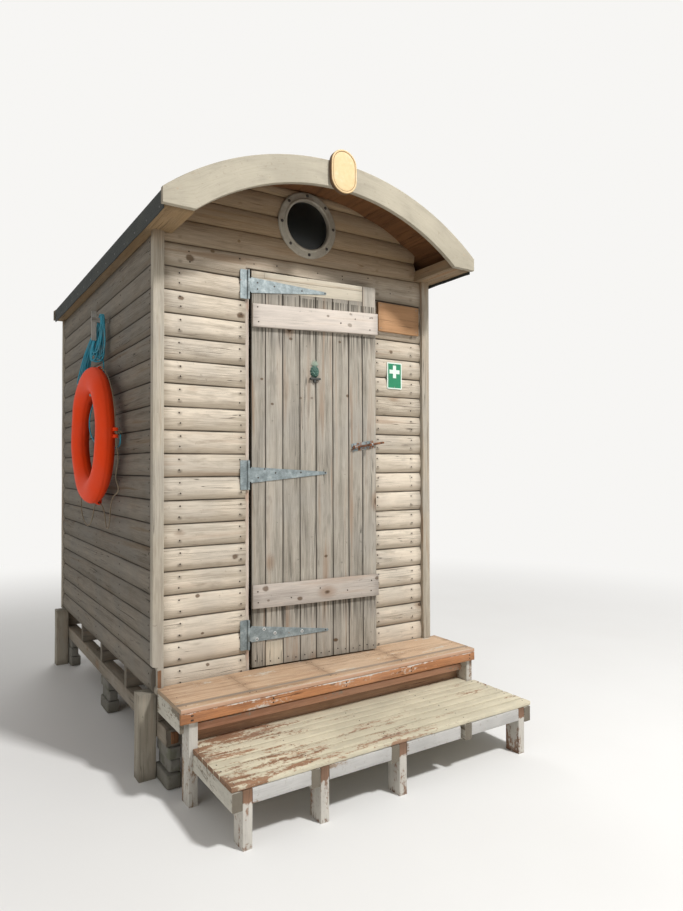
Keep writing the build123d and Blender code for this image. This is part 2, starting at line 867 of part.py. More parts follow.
# Hook for the rope: an arm out of the wall, with an upright bar in front of its end
with BuildPart() as rope_hook:
    with BuildSketch(wall_side):
        with Locations((0, hook_arm_foot)):
            Rectangle(hook_arm_width, hook_arm_depth, align=(Align.CENTER, Align.MIN))
    extrude(amount=hook_arm_reach)
    with BuildSketch(wall_side.offset(hook_bar_reach - hook_bar_depth)):
        with Locations((0, hook_bar_foot)):
            Rectangle(hook_bar_width, hook_bar_top - hook_bar_foot, align=(Align.CENTER, Align.MIN))
    extrude(amount=hook_bar_depth)
save(rope_hook.part, "rope_hook")


def rope(name, route, thickness):
    """Rope laid along a route, with bends as large as the runs beside each point allow."""
    points = [wall_side.from_local_coords(place) for place in route]
    runs = [end - start for start, end in zip(points, points[1:])]
    radii = [
        bend_share * min(a.length, b.length) / math.tan(math.radians(a.get_angle(b) / 2))
        for a, b in zip(runs, runs[1:])
    ]
    with BuildPart() as tube:
        with BuildLine() as path:
            FilletPolyline(*points, radius=radii)
        with BuildSketch(Plane(origin=path.line @ 0, z_dir=path.line % 0)):
            Circle(thickness / 2)
        sweep()
    length = sum(edge.length for edge in path.edges())
    section = math.pi * (thickness / 2) ** 2
    print(f"{name}: radii {[round(radius) for radius in radii]}, length {length:.0f}")
    print(f"{name}: volume {tube.part.volume:.0f}, section times length {section * length:.0f}")
    save(tube.part, name)


# Grab line through the lugs, tied in a knot with the tail of the rope
rope("grab_line", line_route, line_thickness)
rope("rope_tail", tail_route, tail_thickness)
with BuildPart() as line_knot:
    with BuildSketch(Plane(origin=wall_side.from_local_coords(knot_place), z_dir=(0, 0, 1))):
        Rectangle(knot_outline[0], knot_outline[1])
    extrude(amount=knot_outline[2] / 2, both=True)
    fillet(line_knot.edges().filter_by(Axis.Z), radius=knot_rounding)
save(line_knot.part, "line_knot")

# Rope hung over the hook in loops: a bundle below the arm, with four longer loops to one side.
# Each oval is given as its middle (ahead, up, out from the wall) and its half sizes (out, ahead)
bundle_ovals = (
    ((0, 709, 41), (16, 14)),
    ((0, 688, 41), (21, 30)),
    ((0, 563, 40), (26, 30)),
    ((0, 543, 41), (27, 30)),
    ((0, 483, 56), (46, 30)),
    ((0, 425, 62), (50, 22)),
)
lobe_ovals = (
    ((-15, 653, 44), (16, 12)),
    ((-105, 563, 77), (26, 14)),
    ((-165, 468, 100), (30, 14)),
    ((-217, 383, 110), (30, 14)),
    ((-263, 325, 115), (20, 10)),
)
with BuildPart() as rope_hank:
    for ovals in (bundle_ovals, lobe_ovals):
        for place, half in ovals:
            with BuildSketch(Plane(origin=wall_side.from_local_coords(place), z_dir=(0, 0, 1))):
                Ellipse(half[0], half[1])
        loft(ruled=True)
    with BuildSketch(wall_side):
        with Locations((0, hook_arm_foot - hook_clearance)):
            Rectangle(
                hook_arm_width + 2 * hook_clearance,
                hook_arm_depth + hook_clearance,
                align=(Align.CENTER, Align.MIN),
            )
    extrude(amount=hook_arm_reach + buoy_gap, mode=Mode.SUBTRACT)
save(rope_hank.part, "rope_hank")
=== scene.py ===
"""Looks of a timber beach hut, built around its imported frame.

Run as a script. Every piece is a mesh worked out with numpy in metres, in the frame's own place.
"""

import math

import bpy
import numpy as np
from bpy.props import FloatProperty, FloatVectorProperty, IntProperty, PointerProperty
from mathutils import Matrix, Vector


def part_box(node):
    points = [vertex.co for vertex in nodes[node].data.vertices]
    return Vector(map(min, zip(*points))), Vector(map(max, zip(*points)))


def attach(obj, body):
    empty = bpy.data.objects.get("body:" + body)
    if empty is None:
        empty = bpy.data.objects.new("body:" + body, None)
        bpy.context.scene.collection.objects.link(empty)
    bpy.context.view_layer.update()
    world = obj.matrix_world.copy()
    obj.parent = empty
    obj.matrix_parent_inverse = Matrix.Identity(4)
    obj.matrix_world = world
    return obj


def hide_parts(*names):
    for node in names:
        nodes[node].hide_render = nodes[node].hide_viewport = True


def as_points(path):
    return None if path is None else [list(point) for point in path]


bl_info = {
    "name": "Beach hut looks",
    "version": (1, 0, 0),
    "blender": (4, 5, 0),
    "location": "3D View > Sidebar > Beach hut",
    "description": "Boards, roof, door, step, lifebuoy and ropes of a weathered beach hut",
    "category": "Object",
}

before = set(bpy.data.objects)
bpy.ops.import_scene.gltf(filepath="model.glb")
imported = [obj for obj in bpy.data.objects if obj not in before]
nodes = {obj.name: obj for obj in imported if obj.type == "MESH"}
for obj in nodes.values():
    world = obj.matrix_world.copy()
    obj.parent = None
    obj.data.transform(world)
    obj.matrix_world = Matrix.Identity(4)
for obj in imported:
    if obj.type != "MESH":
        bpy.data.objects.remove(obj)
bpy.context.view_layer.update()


def box(node):
    """The lowest and highest corner of a node, as an array."""
    return np.array([list(corner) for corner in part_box(node)])


gable_box = box("front_gable")
MIDDLE = gable_box[:, 0].mean()
FACE = gable_box[0, 1]
BACK = box("back_wall")[1, 1]
LEFT = box("left_wall")[0, 0]
RIGHT = box("right_wall")[1, 0]
WALL_FOOT = box("left_wall")[0, 2]
WALL_HEAD = box("left_wall")[1, 2]
WALL = 0.07
BOARD = 0.022


def xyz(x, y, z):
    """Points from their three parts."""
    return np.stack(np.broadcast_arrays(x, y, z), -1)


def hut(x, y, z):
    """A place given in millimetres from the hut's middle, wall face and ground, in metres."""
    return xyz(MIDDLE + np.asarray(x) / 1000, FACE + np.asarray(y) / 1000, np.asarray(z) / 1000)


def solids(node):
    """Boxes of the separate solids of a node, from the left, the front and the ground."""
    mesh = nodes[node].data
    points = np.empty(len(mesh.vertices) * 3)
    mesh.vertices.foreach_get("co", points)
    points = points.reshape(-1, 3)
    _, same = np.unique(np.round(points, 6), axis=0, return_inverse=True)
    same = same.ravel()
    mesh.calc_loop_triangles()
    corners = np.empty(len(mesh.loop_triangles) * 3, int)
    mesh.loop_triangles.foreach_get("vertices", corners)
    corners = same[corners].reshape(-1, 3)
    label = np.arange(same.max() + 1)
    while True:
        lowest = label[corners].min(1)
        after = label.copy()
        for side in range(3):
            np.minimum.at(after, corners[:, side], lowest)
        if (after == label).all():
            break
        label = after
    groups = label[same]
    boxes = [(points[groups == g].min(0), points[groups == g].max(0)) for g in np.unique(groups)]
    boxes.sort(key=lambda b: tuple(np.round(b[0], 3)))
    return np.array(boxes)


# Sizes and colours that a user would change


def length(name, description, default, lowest=0.001, highest=0.1):
    return FloatProperty(
        name=name, description=description, default=default, min=lowest, max=highest, unit="LENGTH"
    )


def colour(name, description, default):
    return FloatVectorProperty(
        name=name, description=description, default=default, subtype="COLOR", size=3, min=0, max=1
    )


class HutSettings(bpy.types.PropertyGroup):
    """Sizes and colours of the hut's finish."""

    board_round: length(
        "Wall board curve", "How far a wall board curves back at its joints", 0.011, 0.0, 0.015
    )
    board_gap: length("Joint depth", "Depth of the joints between the wall boards", 0.018, 0.01, 0.02)
    timber_wave: length("Timber wave", "How far a board strays from straight", 0.0009, 0.0, 0.003)
    nail_size: length("Nail head", "Width of a nail head", 0.008)
    rope_lay: length("Rope lay", "Length of one turn of the rope's strands", 0.026)
    seed: IntProperty(name="Seed", description="Starts the boards' variation", default=7, min=0)
    wall_light: colour("Wall, light grain", "Sun-bleached grain of the wall boards", (0.72, 0.63, 0.51))
    wall_dark: colour("Wall, dark grain", "Dark grain of the wall boards", (0.26, 0.21, 0.15))
    door_light: colour("Door, light grain", "Light grain of the door boards", (0.50, 0.455, 0.385))
    door_dark: colour("Door, dark grain", "Dark grain of the door boards", (0.15, 0.13, 0.10))
    pale_light: colour("New board", "Light grain of the door's ledges", (0.74, 0.655, 0.575))
    deck_paint: colour("Step paint", "Worn cream paint of the step", (0.66, 0.60, 0.45))
    ring_colour: colour("Lifebuoy", "Colour of the lifebuoy's shell", (0.86, 0.060, 0.006))
    rope_colour: colour("Rope", "Colour of the rope on the hook", (0.035, 0.36, 0.50))


def settings():
    """The hut's settings on the scene."""
    return bpy.context.scene.beach_hut


# Materials


class Value:
    """A socket of a finish, with the arithmetic that the finishes use: + - * / ** abs, and most and
    least for the larger and the smaller of two values."""

    def __init__(self, finish, socket):
        self.finish = finish
        self.socket = socket

    def math(self, operation, *others, clamp=False):
        made = {"operation": operation, "use_clamp": clamp}
        return self.finish.node("ShaderNodeMath", made, dict(enumerate((self, *others))))

    def __rsub__(self, other):
        made = {"operation": "SUBTRACT"}
        return self.finish.node("ShaderNodeMath", made, {0: other, 1: self})

    def __abs__(self):
        return self.math("ABSOLUTE")

    def sine(self):
        return self.math("SINE")

    def step(self, low, high):
        """0 below low and 1 above high, with a smooth rise; the other way round where low is over high."""
        made = {"interpolation_type": "SMOOTHSTEP"}
        start, end = (low, high) if low < high else (high, low)
        rise = self.finish.node("ShaderNodeMapRange", made, {0: self, 1: start, 2: end, 3: 0.0, 4: 1.0})
        return rise if low < high else 1 - rise

    def parts(self):
        """The three parts of a vector."""
        made = self.finish.add("ShaderNodeSeparateXYZ", {}, {0: self})
        return tuple(Value(self.finish, made.outputs[i]) for i in range(3))


def value_method(operation):
    return lambda self, other: self.math(operation, other)


for methods, operation in (
    (("__add__", "__radd__"), "ADD"), (("__mul__", "__rmul__"), "MULTIPLY"), (("__sub__",), "SUBTRACT"),
    (("__truediv__",), "DIVIDE"), (("__pow__",), "POWER"), (("most",), "MAXIMUM"), (("least",), "MINIMUM"),
):
    for method in methods:
        setattr(Value, method, value_method(operation))


class Finish:
    """A material or world whose nodes come from one method, which takes a type, settings and values."""

    def __init__(self, owner, shader="Principled BSDF"):
        owner.use_nodes = True
        self.material = owner
        self.tree = owner.node_tree
        self.shader = self.tree.nodes[shader]

    def add(self, kind, made, values):
        """Adds a node, sets it up, and fills or links its sockets."""
        node = self.tree.nodes.new(kind)
        for name, setting in made.items():
            setattr(node, name, setting)
        for key, value in values.items():
            if isinstance(value, Value):
                self.tree.links.new(value.socket, node.inputs[key])
            else:
                node.inputs[key].default_value = value
        return node

    def node(self, kind, made, values, output=0):
        """The same, as the value of one of its outputs."""
        return Value(self, self.add(kind, made, values).outputs[output])

    def place(self):
        """Object coordinates in metres."""
        return self.node("ShaderNodeTexCoord", {}, {}, 3)

    def uv(self, name):
        """A named UV map of the piece."""
        return self.node("ShaderNodeUVMap", {"uv_map": name}, {})

    def tint(self):
        """The tint of the board, from 0 to 1."""
        return self.node("ShaderNodeAttribute", {"attribute_name": "tint"}, {}, 2)

    def vector(self, x, y, z=0.0):
        return self.node("ShaderNodeCombineXYZ", {}, {0: x, 1: y, 2: z})

    def noise(self, vector, scale, detail=2.0, roughness=0.5):
        """Noise from 0 to 1 about 0.5."""
        values = {"Vector": vector, "Scale": scale, "Detail": detail, "Roughness": roughness}
        return self.node("ShaderNodeTexNoise", {}, values)

    def cells(self, vector, scale, output=0):
        """Distance to the middle of a cell (output 0), or the cell's own random colour (1)."""
        return self.node("ShaderNodeTexVoronoi", {}, {"Vector": vector, "Scale": scale}, output)

    def mix(self, amount, first, second):
        """Blend of two colours."""
        made = {"data_type": "RGBA"}
        first, second = (c if isinstance(c, Value) else (*c, 1.0) for c in (first, second))
        return self.node("ShaderNodeMix", made, {0: amount, 6: first, 7: second}, 2)

    def bump(self, height, distance, strength):
        """Normal of a relief of that depth in metres."""
        return self.node(
            "ShaderNodeBump", {}, {"Height": height, "Distance": distance, "Strength": strength}
        )

    def set(self, **values):
        """Fills sockets of the shader, where underscores stand for spaces, and gives the material."""
        for name, value in values.items():
            socket = self.shader.inputs[name.replace("_", " ")]
            if isinstance(value, Value):
                self.tree.links.new(value.socket, socket)
            else:
                socket.default_value = value
        return self.material


def times(share, colour):
    """A colour made darker or lighter by a share."""
    return tuple(share * c for c in colour)


finishes = {}


def finish(name, make, *values, **named):
    """A finish by name, made the first time it is asked for."""
    if name not in finishes:
        finishes[name] = make(Finish(bpy.data.materials.new(name)), *values, **named)
    return finishes[name]


def timber(
    f, light, dark, brown=(0.23, 0.12, 0.055), grey=(0.30, 0.28, 0.25), knots=0.5, greyed=0.35,
    lines=1.0, contrast=1.0, sheltered=None, paint=None, worn=0.5, foot=None, rust=None, edge=(0, 0),
    nailed=(), spots=(), drips=(), bands=(), kept_edge=0.0, worn_places=(), worn_top=None,
):
    """Weathered softwood: grain lines bent by broad noise, knots, checks and stains, tinted per board.

    The grain runs along the first part of the UV map, in metres. foot is the height below which the
    wood is damp, and sheltered a range of heights over which it turns browner. edge is how much
    painted shade, mixed with some dirt, darkens a board's lower half, where its face curves under,
    and its joints. nailed lists the places along x where nails stain the boards, rust lists x and
    height of rust stains, and spots lists knots as x, height, size and depth. drips lists heights
    under which water has run, and bands strips from one y to another, below a height, with a colour
    and an amount. Where paint is given it covers the wood but for worn places: worn is the bare
    share, worn_places lists x, y, size and depth of trodden places, worn_top is the height over
    which paint is gone, and kept_edge keeps it at a board's upper edge.
    """
    along, around, _ = f.uv("grain").parts()
    end, across, _ = f.uv("place").parts()
    tint = f.tint()
    x, y, z = f.place().parts()
    cut_end = along.step(-40.0, -45.0)
    own = tint * 37.0

    bend = f.noise(f.vector(along * 1.7, around * 7.0, own), 1.0, 2.0)
    knot_place = f.vector(along * 3.1, around * 5.2, own)
    knot_far = f.cells(knot_place, 1.0)
    knot_own, knot_size, _ = f.cells(knot_place, 1.0, 1).parts()
    kept = knot_own.step(1.0 - knots, 1.02 - knots)
    knot_radius = 0.035 + 0.05 * knot_size
    knot = (1 - (knot_far / knot_radius).step(0.75, 1.1)) * kept
    halo = (1 - (knot_far / knot_radius).step(0.9, 3.0)) * kept
    shifted = around + (bend - 0.5) * 0.022 + halo * 0.006

    ring = (shifted * 2300.0 + bend * 16.0).sine() * 0.5 + 0.5
    fine = f.noise(f.vector(along * 9.0, shifted * 420.0, own), 1.0, 4.0, 0.62)
    broad = f.noise(f.vector(along * 1.3, shifted * 28.0, own + 5.0), 1.0, 3.0, 0.55)
    blotch = f.noise(f.vector(along * 5.0, around * 21.0, own + 2.0), 1.0, 4.0, 0.6)
    patch = f.noise(f.place(), 2.6, 4.0, 0.6)
    speck = f.noise(f.place(), 38.0, 3.0, 0.6)

    shade = 1.5 * broad + 1.3 * fine + 0.22 * lines * ring + 0.5 * patch + 0.8 * blotch + 0.36 * tint
    middle = 2.23 + 0.11 * lines
    wood = f.mix(((shade - middle) * contrast + 0.62).math("ADD", 0.0, clamp=True), dark, light)
    wood = f.mix((patch.step(0.42, 0.66) * greyed).least(1.0), wood, grey)
    wood = f.mix((broad.step(0.52, 0.74) * (0.25 + 0.5 * tint.step(0.9, 0.2))).least(1.0), wood, brown)
    wood = f.mix(blotch.step(0.56, 0.7) * 0.35 * contrast, wood, times(0.8, dark))
    wood = f.mix(halo * 0.5, wood, brown)
    wood = f.mix(knot * 0.9, wood, times(0.3, brown))

    check = f.noise(f.vector(along * 1.1, shifted * 75.0, own + 9.0), 1.0, 1.0)
    open_check = (abs(check - 0.5)).step(0.012, 0.002) * f.noise(
        f.vector(along * 2.3, around * 9.0, own), 1.0, 1.0
    ).step(0.52, 0.6)
    wood = f.mix(open_check * 0.8, wood, times(0.22, dark))
    wood = f.mix(end.step(0.05, 0.0) * 0.3, wood, times(0.5, dark))
    wood = f.mix(speck.step(0.66, 0.78) * 0.4, wood, times(0.5, dark))
    # Painted shade: each board's lower half, where its curved face turns under, and the lips at its joints
    # are darkened, with some dirt mixed in.
    if any(edge):
        low = across.step(0.46, 0.0) * (0.45 + 0.9 * blotch)
        lip = across.least(1 - across).step(0.055, 0.004)
        wood = f.mix((low * edge[0]).least(1.0), wood, f.mix(fine, times(0.8, dark), times(1.5, dark)))
        wood = f.mix(lip * edge[1], wood, times(0.3, dark))
    for place in nailed:
        near = abs(x - place).step(0.017, 0.003)
        low = abs(across - 0.25).step(0.11, 0.02) + abs(across - 0.72).step(0.11, 0.02) * 0.7
        wood = f.mix(near * low * blotch.step(0.36, 0.6) * 0.6, wood, times(0.5, dark))
    for spot_x, spot_z, size, depth in spots:
        flat = ((x - spot_x) ** 2.0 + ((z - spot_z) * 1.3) ** 2.0) ** 0.5
        wood = f.mix(
            (flat + (speck - 0.5) * size).step(1.15 * size, 0.6 * size) * depth, wood, times(0.4, brown)
        )
    if drips:
        runs = f.noise(f.vector(x * 120.0, y * 120.0, z * 2.0), 1.0, 3.0, 0.6)
        for level in drips:
            fall = (level - z).step(0.16, 0.0) * (level - z).step(-0.001, 0.0)
            wood = f.mix(fall * runs.step(0.46, 0.58) * 0.8, wood, times(0.45, dark))
    if sheltered:
        warm = z.step(*sheltered) * (0.62 + 0.35 * broad)
        wood = f.mix(
            warm.least(1.0), wood, f.mix(1.1 * fine - 0.1, times(0.5, brown), (0.42, 0.285, 0.145))
        )
    if foot:
        damp = (z + 0.10 * patch).step(foot, foot - 0.14)
        wood = f.mix(damp * 0.55, wood, (0.085, 0.075, 0.05))
    if rust:
        runs = f.noise(f.vector(x * 60.0, y * 60.0, z * 3.0), 1.0, 2.0).step(0.5, 0.7)
        for rust_x, rust_z in rust:
            near = abs(x - rust_x).step(0.014, 0.004) * abs(z - rust_z + 0.02).step(0.04, 0.01)
            wood = f.mix(near * (0.3 + 0.6 * runs), wood, (0.30, 0.105, 0.03))
    roughness = 0.86 - 0.12 * fine
    relief = 0.55 * fine + 0.3 * ring * lines - 1.4 * open_check + 0.25 * knot
    if paint:
        rub = f.noise(f.vector(along * 4.0, around * 17.0, own), 1.0, 5.0, 0.65)
        grit = f.noise(f.place(), 60.0, 4.0, 0.7)
        bare = 0.6 * rub + 0.25 * grit + 0.15 * fine + 0.04 * (1 - end.step(0.0, 0.03))
        for place_x, place_y, size, depth in worn_places:
            flat = ((x - place_x) ** 2.0 + ((y - place_y) * 2.0) ** 2.0) ** 0.5
            bare = bare + flat.step(size, 0.2 * size) * depth
        if worn_top:
            bare = bare + z.step(worn_top - 0.02, worn_top + 0.02) * 0.3
        if kept_edge:
            bare = bare - across.step(0.8, 0.97) * kept_edge
        bare = bare.step(0.62 - 0.28 * worn, 0.68 - 0.28 * worn)
        coat = f.mix(patch.step(0.3, 0.7), paint, times(0.8, paint))
        coat = f.mix(blotch.step(0.5, 0.68) * 0.35, coat, times(0.6, paint))
        coat = f.mix(fine.step(0.46, 0.66) * 0.30, coat, times(0.55, paint))
        coat = f.mix(grit.step(0.58, 0.72) * 0.4, coat, (0.20, 0.15, 0.10))
        wood = f.mix(bare, coat, wood)
    for low, high, top, colour, amount in bands:
        inside = y.step(low - 0.002, low + 0.003) * y.step(high + 0.003, high - 0.002)
        inside = inside * z.step(top + 0.002, top)
        wood = f.mix(inside * (0.4 + 1.1 * blotch).least(1.0) * amount, wood, colour)
    if paint:
        relief = relief * (0.35 + 0.65 * bare) - 0.4 * bare
        roughness = roughness - 0.18 * (1 - bare)
    rings = (((around - 0.02) ** 2.0 + (along + 50.0) ** 2.0) ** 0.5 * 1500.0 + bend * 6.0).sine()
    sawn = f.mix(rings.step(-0.6, 0.9), times(0.42, light), times(0.72, light))
    wood = f.mix(cut_end, wood, sawn)
    return f.set(
        Base_Color=wood, Roughness=roughness, Normal=f.bump(relief, 0.0011, 0.8), Specular_IOR_Level=0.25
    )


def wooden(name, *colours, **looks):
    return finish(f"{name}_timber", timber, *colours, **looks)


def plain(f, colour, roughness=0.6, mottle=0.12, metal=0.0, scale=30.0, relief=0.0004):
    """One colour with fine mottling, soiling in broad patches and a slight relief."""
    place = f.place()
    fine = f.noise(place, scale, 4.0, 0.6)
    broad = f.noise(place, scale / 8, 3.0)
    shade = f.mix(fine * mottle * 2, colour, times(0.62, colour))
    shade = f.mix(broad.step(0.5, 0.8) * mottle * 2.5, shade, times(0.5, colour))
    return f.set(
        Base_Color=shade, Roughness=roughness + (fine - 0.5) * 0.25, Metallic=metal,
        Normal=f.bump(fine, relief, 0.6),
    )


def galvanised(f, rusty=0.25):
    """Dull zinc with pale blooms, scratches and rust that starts in spots."""
    place = f.place()
    flake = f.cells(place, 260.0, 1).parts()[0]
    bloom = f.noise(place, 34.0, 4.0, 0.6)
    streak = f.noise(
        f.vector(*(place.parts()[i] * fine for i, fine in enumerate((14.0, 14.0, 120.0)))), 1.0, 3.0
    )
    zinc = f.mix(flake * 0.3 + bloom.step(0.3, 0.7) * 0.7, (0.155, 0.185, 0.19), (0.32, 0.365, 0.37))
    zinc = f.mix(bloom.step(0.55, 0.75) * 0.5, zinc, (0.44, 0.48, 0.47))
    zinc = f.mix(streak.step(0.6, 0.75) * 0.25, zinc, (0.17, 0.19, 0.195))
    rust = f.noise(place, 48.0, 5.0, 0.7).step(0.74 - 0.3 * rusty, 0.8 - 0.3 * rusty)
    rust_colour = f.mix(bloom, (0.16, 0.06, 0.022), (0.38, 0.16, 0.055))
    return f.set(
        Base_Color=f.mix(rust, zinc, rust_colour), Metallic=0.55 * (1 - rust),
        Roughness=0.5 + 0.35 * rust + 0.1 * bloom, Normal=f.bump(bloom + 0.8 * rust, 0.0004, 0.7),
    )


def felted(f):
    """Mineral felt: fine grey-green granules, run-off streaks down the slope and pale wear."""
    place = f.place()
    x, y, z = place.parts()
    grain = f.cells(place, 900.0, 1).parts()[0]
    patch = f.noise(place, 5.0, 4.0, 0.6)
    streak = f.noise(f.vector(x * 3.0, y * 22.0, z * 3.0), 1.0, 3.0)
    shade = f.mix(grain, (0.012, 0.015, 0.014), (0.040, 0.044, 0.039))
    shade = f.mix(patch.step(0.45, 0.7) * 0.5, shade, (0.055, 0.056, 0.044))
    shade = f.mix(streak.step(0.55, 0.8) * 0.35, shade, (0.016, 0.018, 0.015))
    return f.set(Base_Color=shade, Roughness=0.88 + 0.06 * grain, Normal=f.bump(grain, 0.0008, 0.7))


def cast(f, light, dark):
    """Painted casting gone chalky: mottled, with dirt where water runs."""
    place = f.place()
    x, y, z = place.parts()
    fine = f.noise(place, 70.0, 5.0, 0.65)
    broad = f.noise(place, 11.0, 3.0)
    run = f.noise(f.vector(x * 60.0, y * 60.0, z * 7.0), 1.0, 2.0)
    shade = f.mix(0.6 * fine + 0.4 * broad, dark, light)
    shade = f.mix(broad.step(0.4, 0.6) * 0.5, shade, light)
    shade = f.mix(run.step(0.58, 0.75) * 0.5, shade, dark)
    return f.set(
        Base_Color=shade, Roughness=0.55 + 0.2 * fine, Metallic=0.15, Normal=f.bump(fine, 0.0006, 0.6)
    )


def dark_glass(f):
    """Thick, slightly green glass, dusty in patches."""
    dust = f.noise(f.place(), 20.0, 4.0, 0.6)
    return f.set(
        Base_Color=f.mix(dust, (0.030, 0.036, 0.034), (0.06, 0.068, 0.062)), Roughness=0.16 + 0.14 * dust,
        Transmission_Weight=0.8, Specular_IOR_Level=0.25, IOR=1.45,
    )


def badge_gold(f):
    """Carved badge with worn gold paint over cream, darker in its grooves and at its side."""
    place = f.place()
    x, y, z = place.parts()
    fine = f.noise(place, 60.0, 5.0, 0.65)
    rub = f.noise(place, 16.0, 4.0, 0.6)
    shade = f.mix(fine, (0.60, 0.41, 0.19), (0.74, 0.57, 0.33))
    shade = f.mix(rub.step(0.5, 0.7) * 0.6, shade, (0.76, 0.67, 0.49))
    front = box("badge")[0, 1]
    shade = f.mix(y.step(front + 0.0014, front + 0.0024), shade, (0.30, 0.18, 0.08))
    shade = f.mix(y.step(front + 0.0040, front + 0.0065), shade, (0.105, 0.06, 0.032))
    return f.set(Base_Color=shade, Roughness=0.6 + 0.15 * fine, Normal=f.bump(fine, 0.0007, 0.7))


def rusted(f):
    """Steel rusted right through: dark scale with orange bloom."""
    place = f.place()
    scale = f.noise(place, 140.0, 6.0, 0.7)
    bloom = f.noise(place, 38.0, 4.0, 0.6)
    shade = f.mix(bloom.step(0.35, 0.7), (0.075, 0.035, 0.022), (0.30, 0.115, 0.042))
    shade = f.mix(scale.step(0.55, 0.75) * 0.6, shade, (0.42, 0.19, 0.08))
    return f.set(
        Base_Color=shade, Roughness=0.78 + 0.15 * scale, Metallic=0.25 * (1 - bloom),
        Normal=f.bump(scale, 0.0007, 0.9)
    )


def knocker_paint(f):
    """Dark green paint on a casting, worn to a pale green on its crown and its high places."""
    place = f.place()
    z = place.parts()[2]
    fine = f.noise(place, 120.0, 5.0, 0.65)
    shade = f.mix(fine, (0.010, 0.045, 0.032), (0.028, 0.10, 0.07))
    shade = f.mix(fine.step(0.52, 0.66) * 0.75, shade, (0.26, 0.38, 0.31))
    shade = f.mix(z.step(1.990, 2.004) * 0.75, shade, (0.36, 0.42, 0.33))
    shade = f.mix(z.step(1.934, 1.930), shade, f.mix(fine, (0.020, 0.022, 0.020), (0.06, 0.06, 0.052)))
    return f.set(Base_Color=shade, Roughness=0.42 + 0.3 * fine, Normal=f.bump(fine, 0.0004, 0.6))


def sign_print(f, middle, half):
    """Green sheet with a white border and a plain white cross in its upper part."""
    place = f.place()
    x, y, z = place.parts()
    a, b = abs(x - float(middle[0])), abs(z - float(middle[2]))
    sharp = 0.0005

    def inside(distance, limit):
        return distance.step(limit + sharp, limit - sharp)

    field = inside(a, float(half[0]) - 0.007) * inside(b, float(half[2]) - 0.007)
    cross_z = abs(z - float(middle[2]) - 0.024)
    arm, width = 0.037, 0.0115
    cross = (inside(a, arm) * inside(cross_z, width)).most(inside(a, width) * inside(cross_z, arm))
    fade = f.noise(place, 30.0, 4.0, 0.6)
    green = f.mix(fade, (0.006, 0.165, 0.072), (0.02, 0.235, 0.115))
    white = f.mix(fade, (0.60, 0.70, 0.62), (0.72, 0.80, 0.73))
    shade = f.mix(field * (1 - cross), white, green)
    return f.set(Base_Color=shade, Roughness=0.38 + 0.15 * fade, Normal=f.bump(fade, 0.0002, 0.4))


def rough_stone(f):
    """Dark limestone, pitted, mossy and damp towards the ground."""
    place = f.place()
    z = place.parts()[2]
    pits = f.noise(place, 45.0, 6.0, 0.7)
    broad = f.noise(place, 7.0, 4.0, 0.6)
    shade = f.mix(0.6 * broad + 0.4 * pits, (0.085, 0.08, 0.068), (0.27, 0.255, 0.22))
    shade = f.mix(f.noise(place, 16.0, 4.0, 0.6).step(0.52, 0.68) * 0.5, shade, (0.07, 0.078, 0.036))
    shade = f.mix((z + 0.08 * broad).step(0.13, 0.02) * 0.6, shade, (0.10, 0.09, 0.06))
    return f.set(
        Base_Color=shade, Roughness=0.9 - 0.1 * pits, Normal=f.bump(pits + 0.5 * broad, 0.004, 0.8)
    )


def buoy_shell(f, colour):
    """Moulded plastic shell: faded in broad patches, scuffed and a little dirty."""
    place = f.place()
    fine = f.noise(place, 95.0, 5.0, 0.65)
    broad = f.noise(place, 5.5, 3.0)
    scuff = f.noise(
        f.vector(*(place.parts()[i] * fine for i, fine in enumerate((30.0, 130.0, 30.0)))), 1.0, 2.0
    )
    faded = tuple(0.94 * c + 0.012 for c in colour)
    shade = f.mix(broad.step(0.35, 0.7), colour, faded)
    shade = f.mix(fine.step(0.62, 0.8) * 0.3, shade, times(0.45, colour))
    shade = f.mix(scuff.step(0.72, 0.82) * 0.15, shade, (0.58, 0.16, 0.09))
    return f.set(
        Base_Color=shade, Roughness=0.5 + 0.2 * fine, Normal=f.bump(fine + 0.6 * broad, 0.0005, 0.5),
        Specular_IOR_Level=0.15,
    )


# Shapes


def smooth_noise(random, shape, place, waves=(1.6, 4.3, 9.1), weights=(1.0, 0.5, 0.25)):
    """Sum of sines of place with random phases: one smooth random curve for each item of shape."""
    total = 0.0
    for wave, weight in zip(waves, weights):
        phase = random.uniform(0, 2 * math.pi, shape)
        total = total + weight * np.sin(2 * math.pi * wave * place + phase)
    return total / sum(weights)


def full_turn(steps):
    """Even angles round a circle."""
    return np.linspace(0, 2 * math.pi, steps, endpoint=False)


def lengths_round(outline):
    """Metres round closed outlines at each of their points, and at the first point again."""
    step = np.linalg.norm(np.roll(outline, -1, -2) - outline, axis=-1)
    return np.concatenate([np.zeros((*step.shape[:-1], 1)), np.cumsum(step, -1)], -1)


def closed(values):
    """The values of a closed outline's points, with the first one again."""
    return np.concatenate([values, values[..., :1]], -1)


def ring_faces(index):
    """Corners of the faces between one closed ring of points and the next."""
    after = np.roll(index, -1, -1)
    return np.stack([index[..., :-1, :], after[..., :-1, :], after[..., 1:, :], index[..., 1:, :]], -1)


def make_mesh(name, points, faces, sharp=180):
    """A mesh with smooth faces but for edges sharper than so many degrees."""
    mesh = bpy.data.meshes.new(name)
    mesh.from_pydata(points.tolist(), [], faces)
    mesh.shade_smooth()
    if sharp < 180:
        mesh.set_sharp_from_angle(angle=math.radians(sharp))
    return mesh


def set_uv(mesh, name, values):
    mesh.uv_layers.new(name=name).data.foreach_set("uv", values.astype(np.float32).ravel())


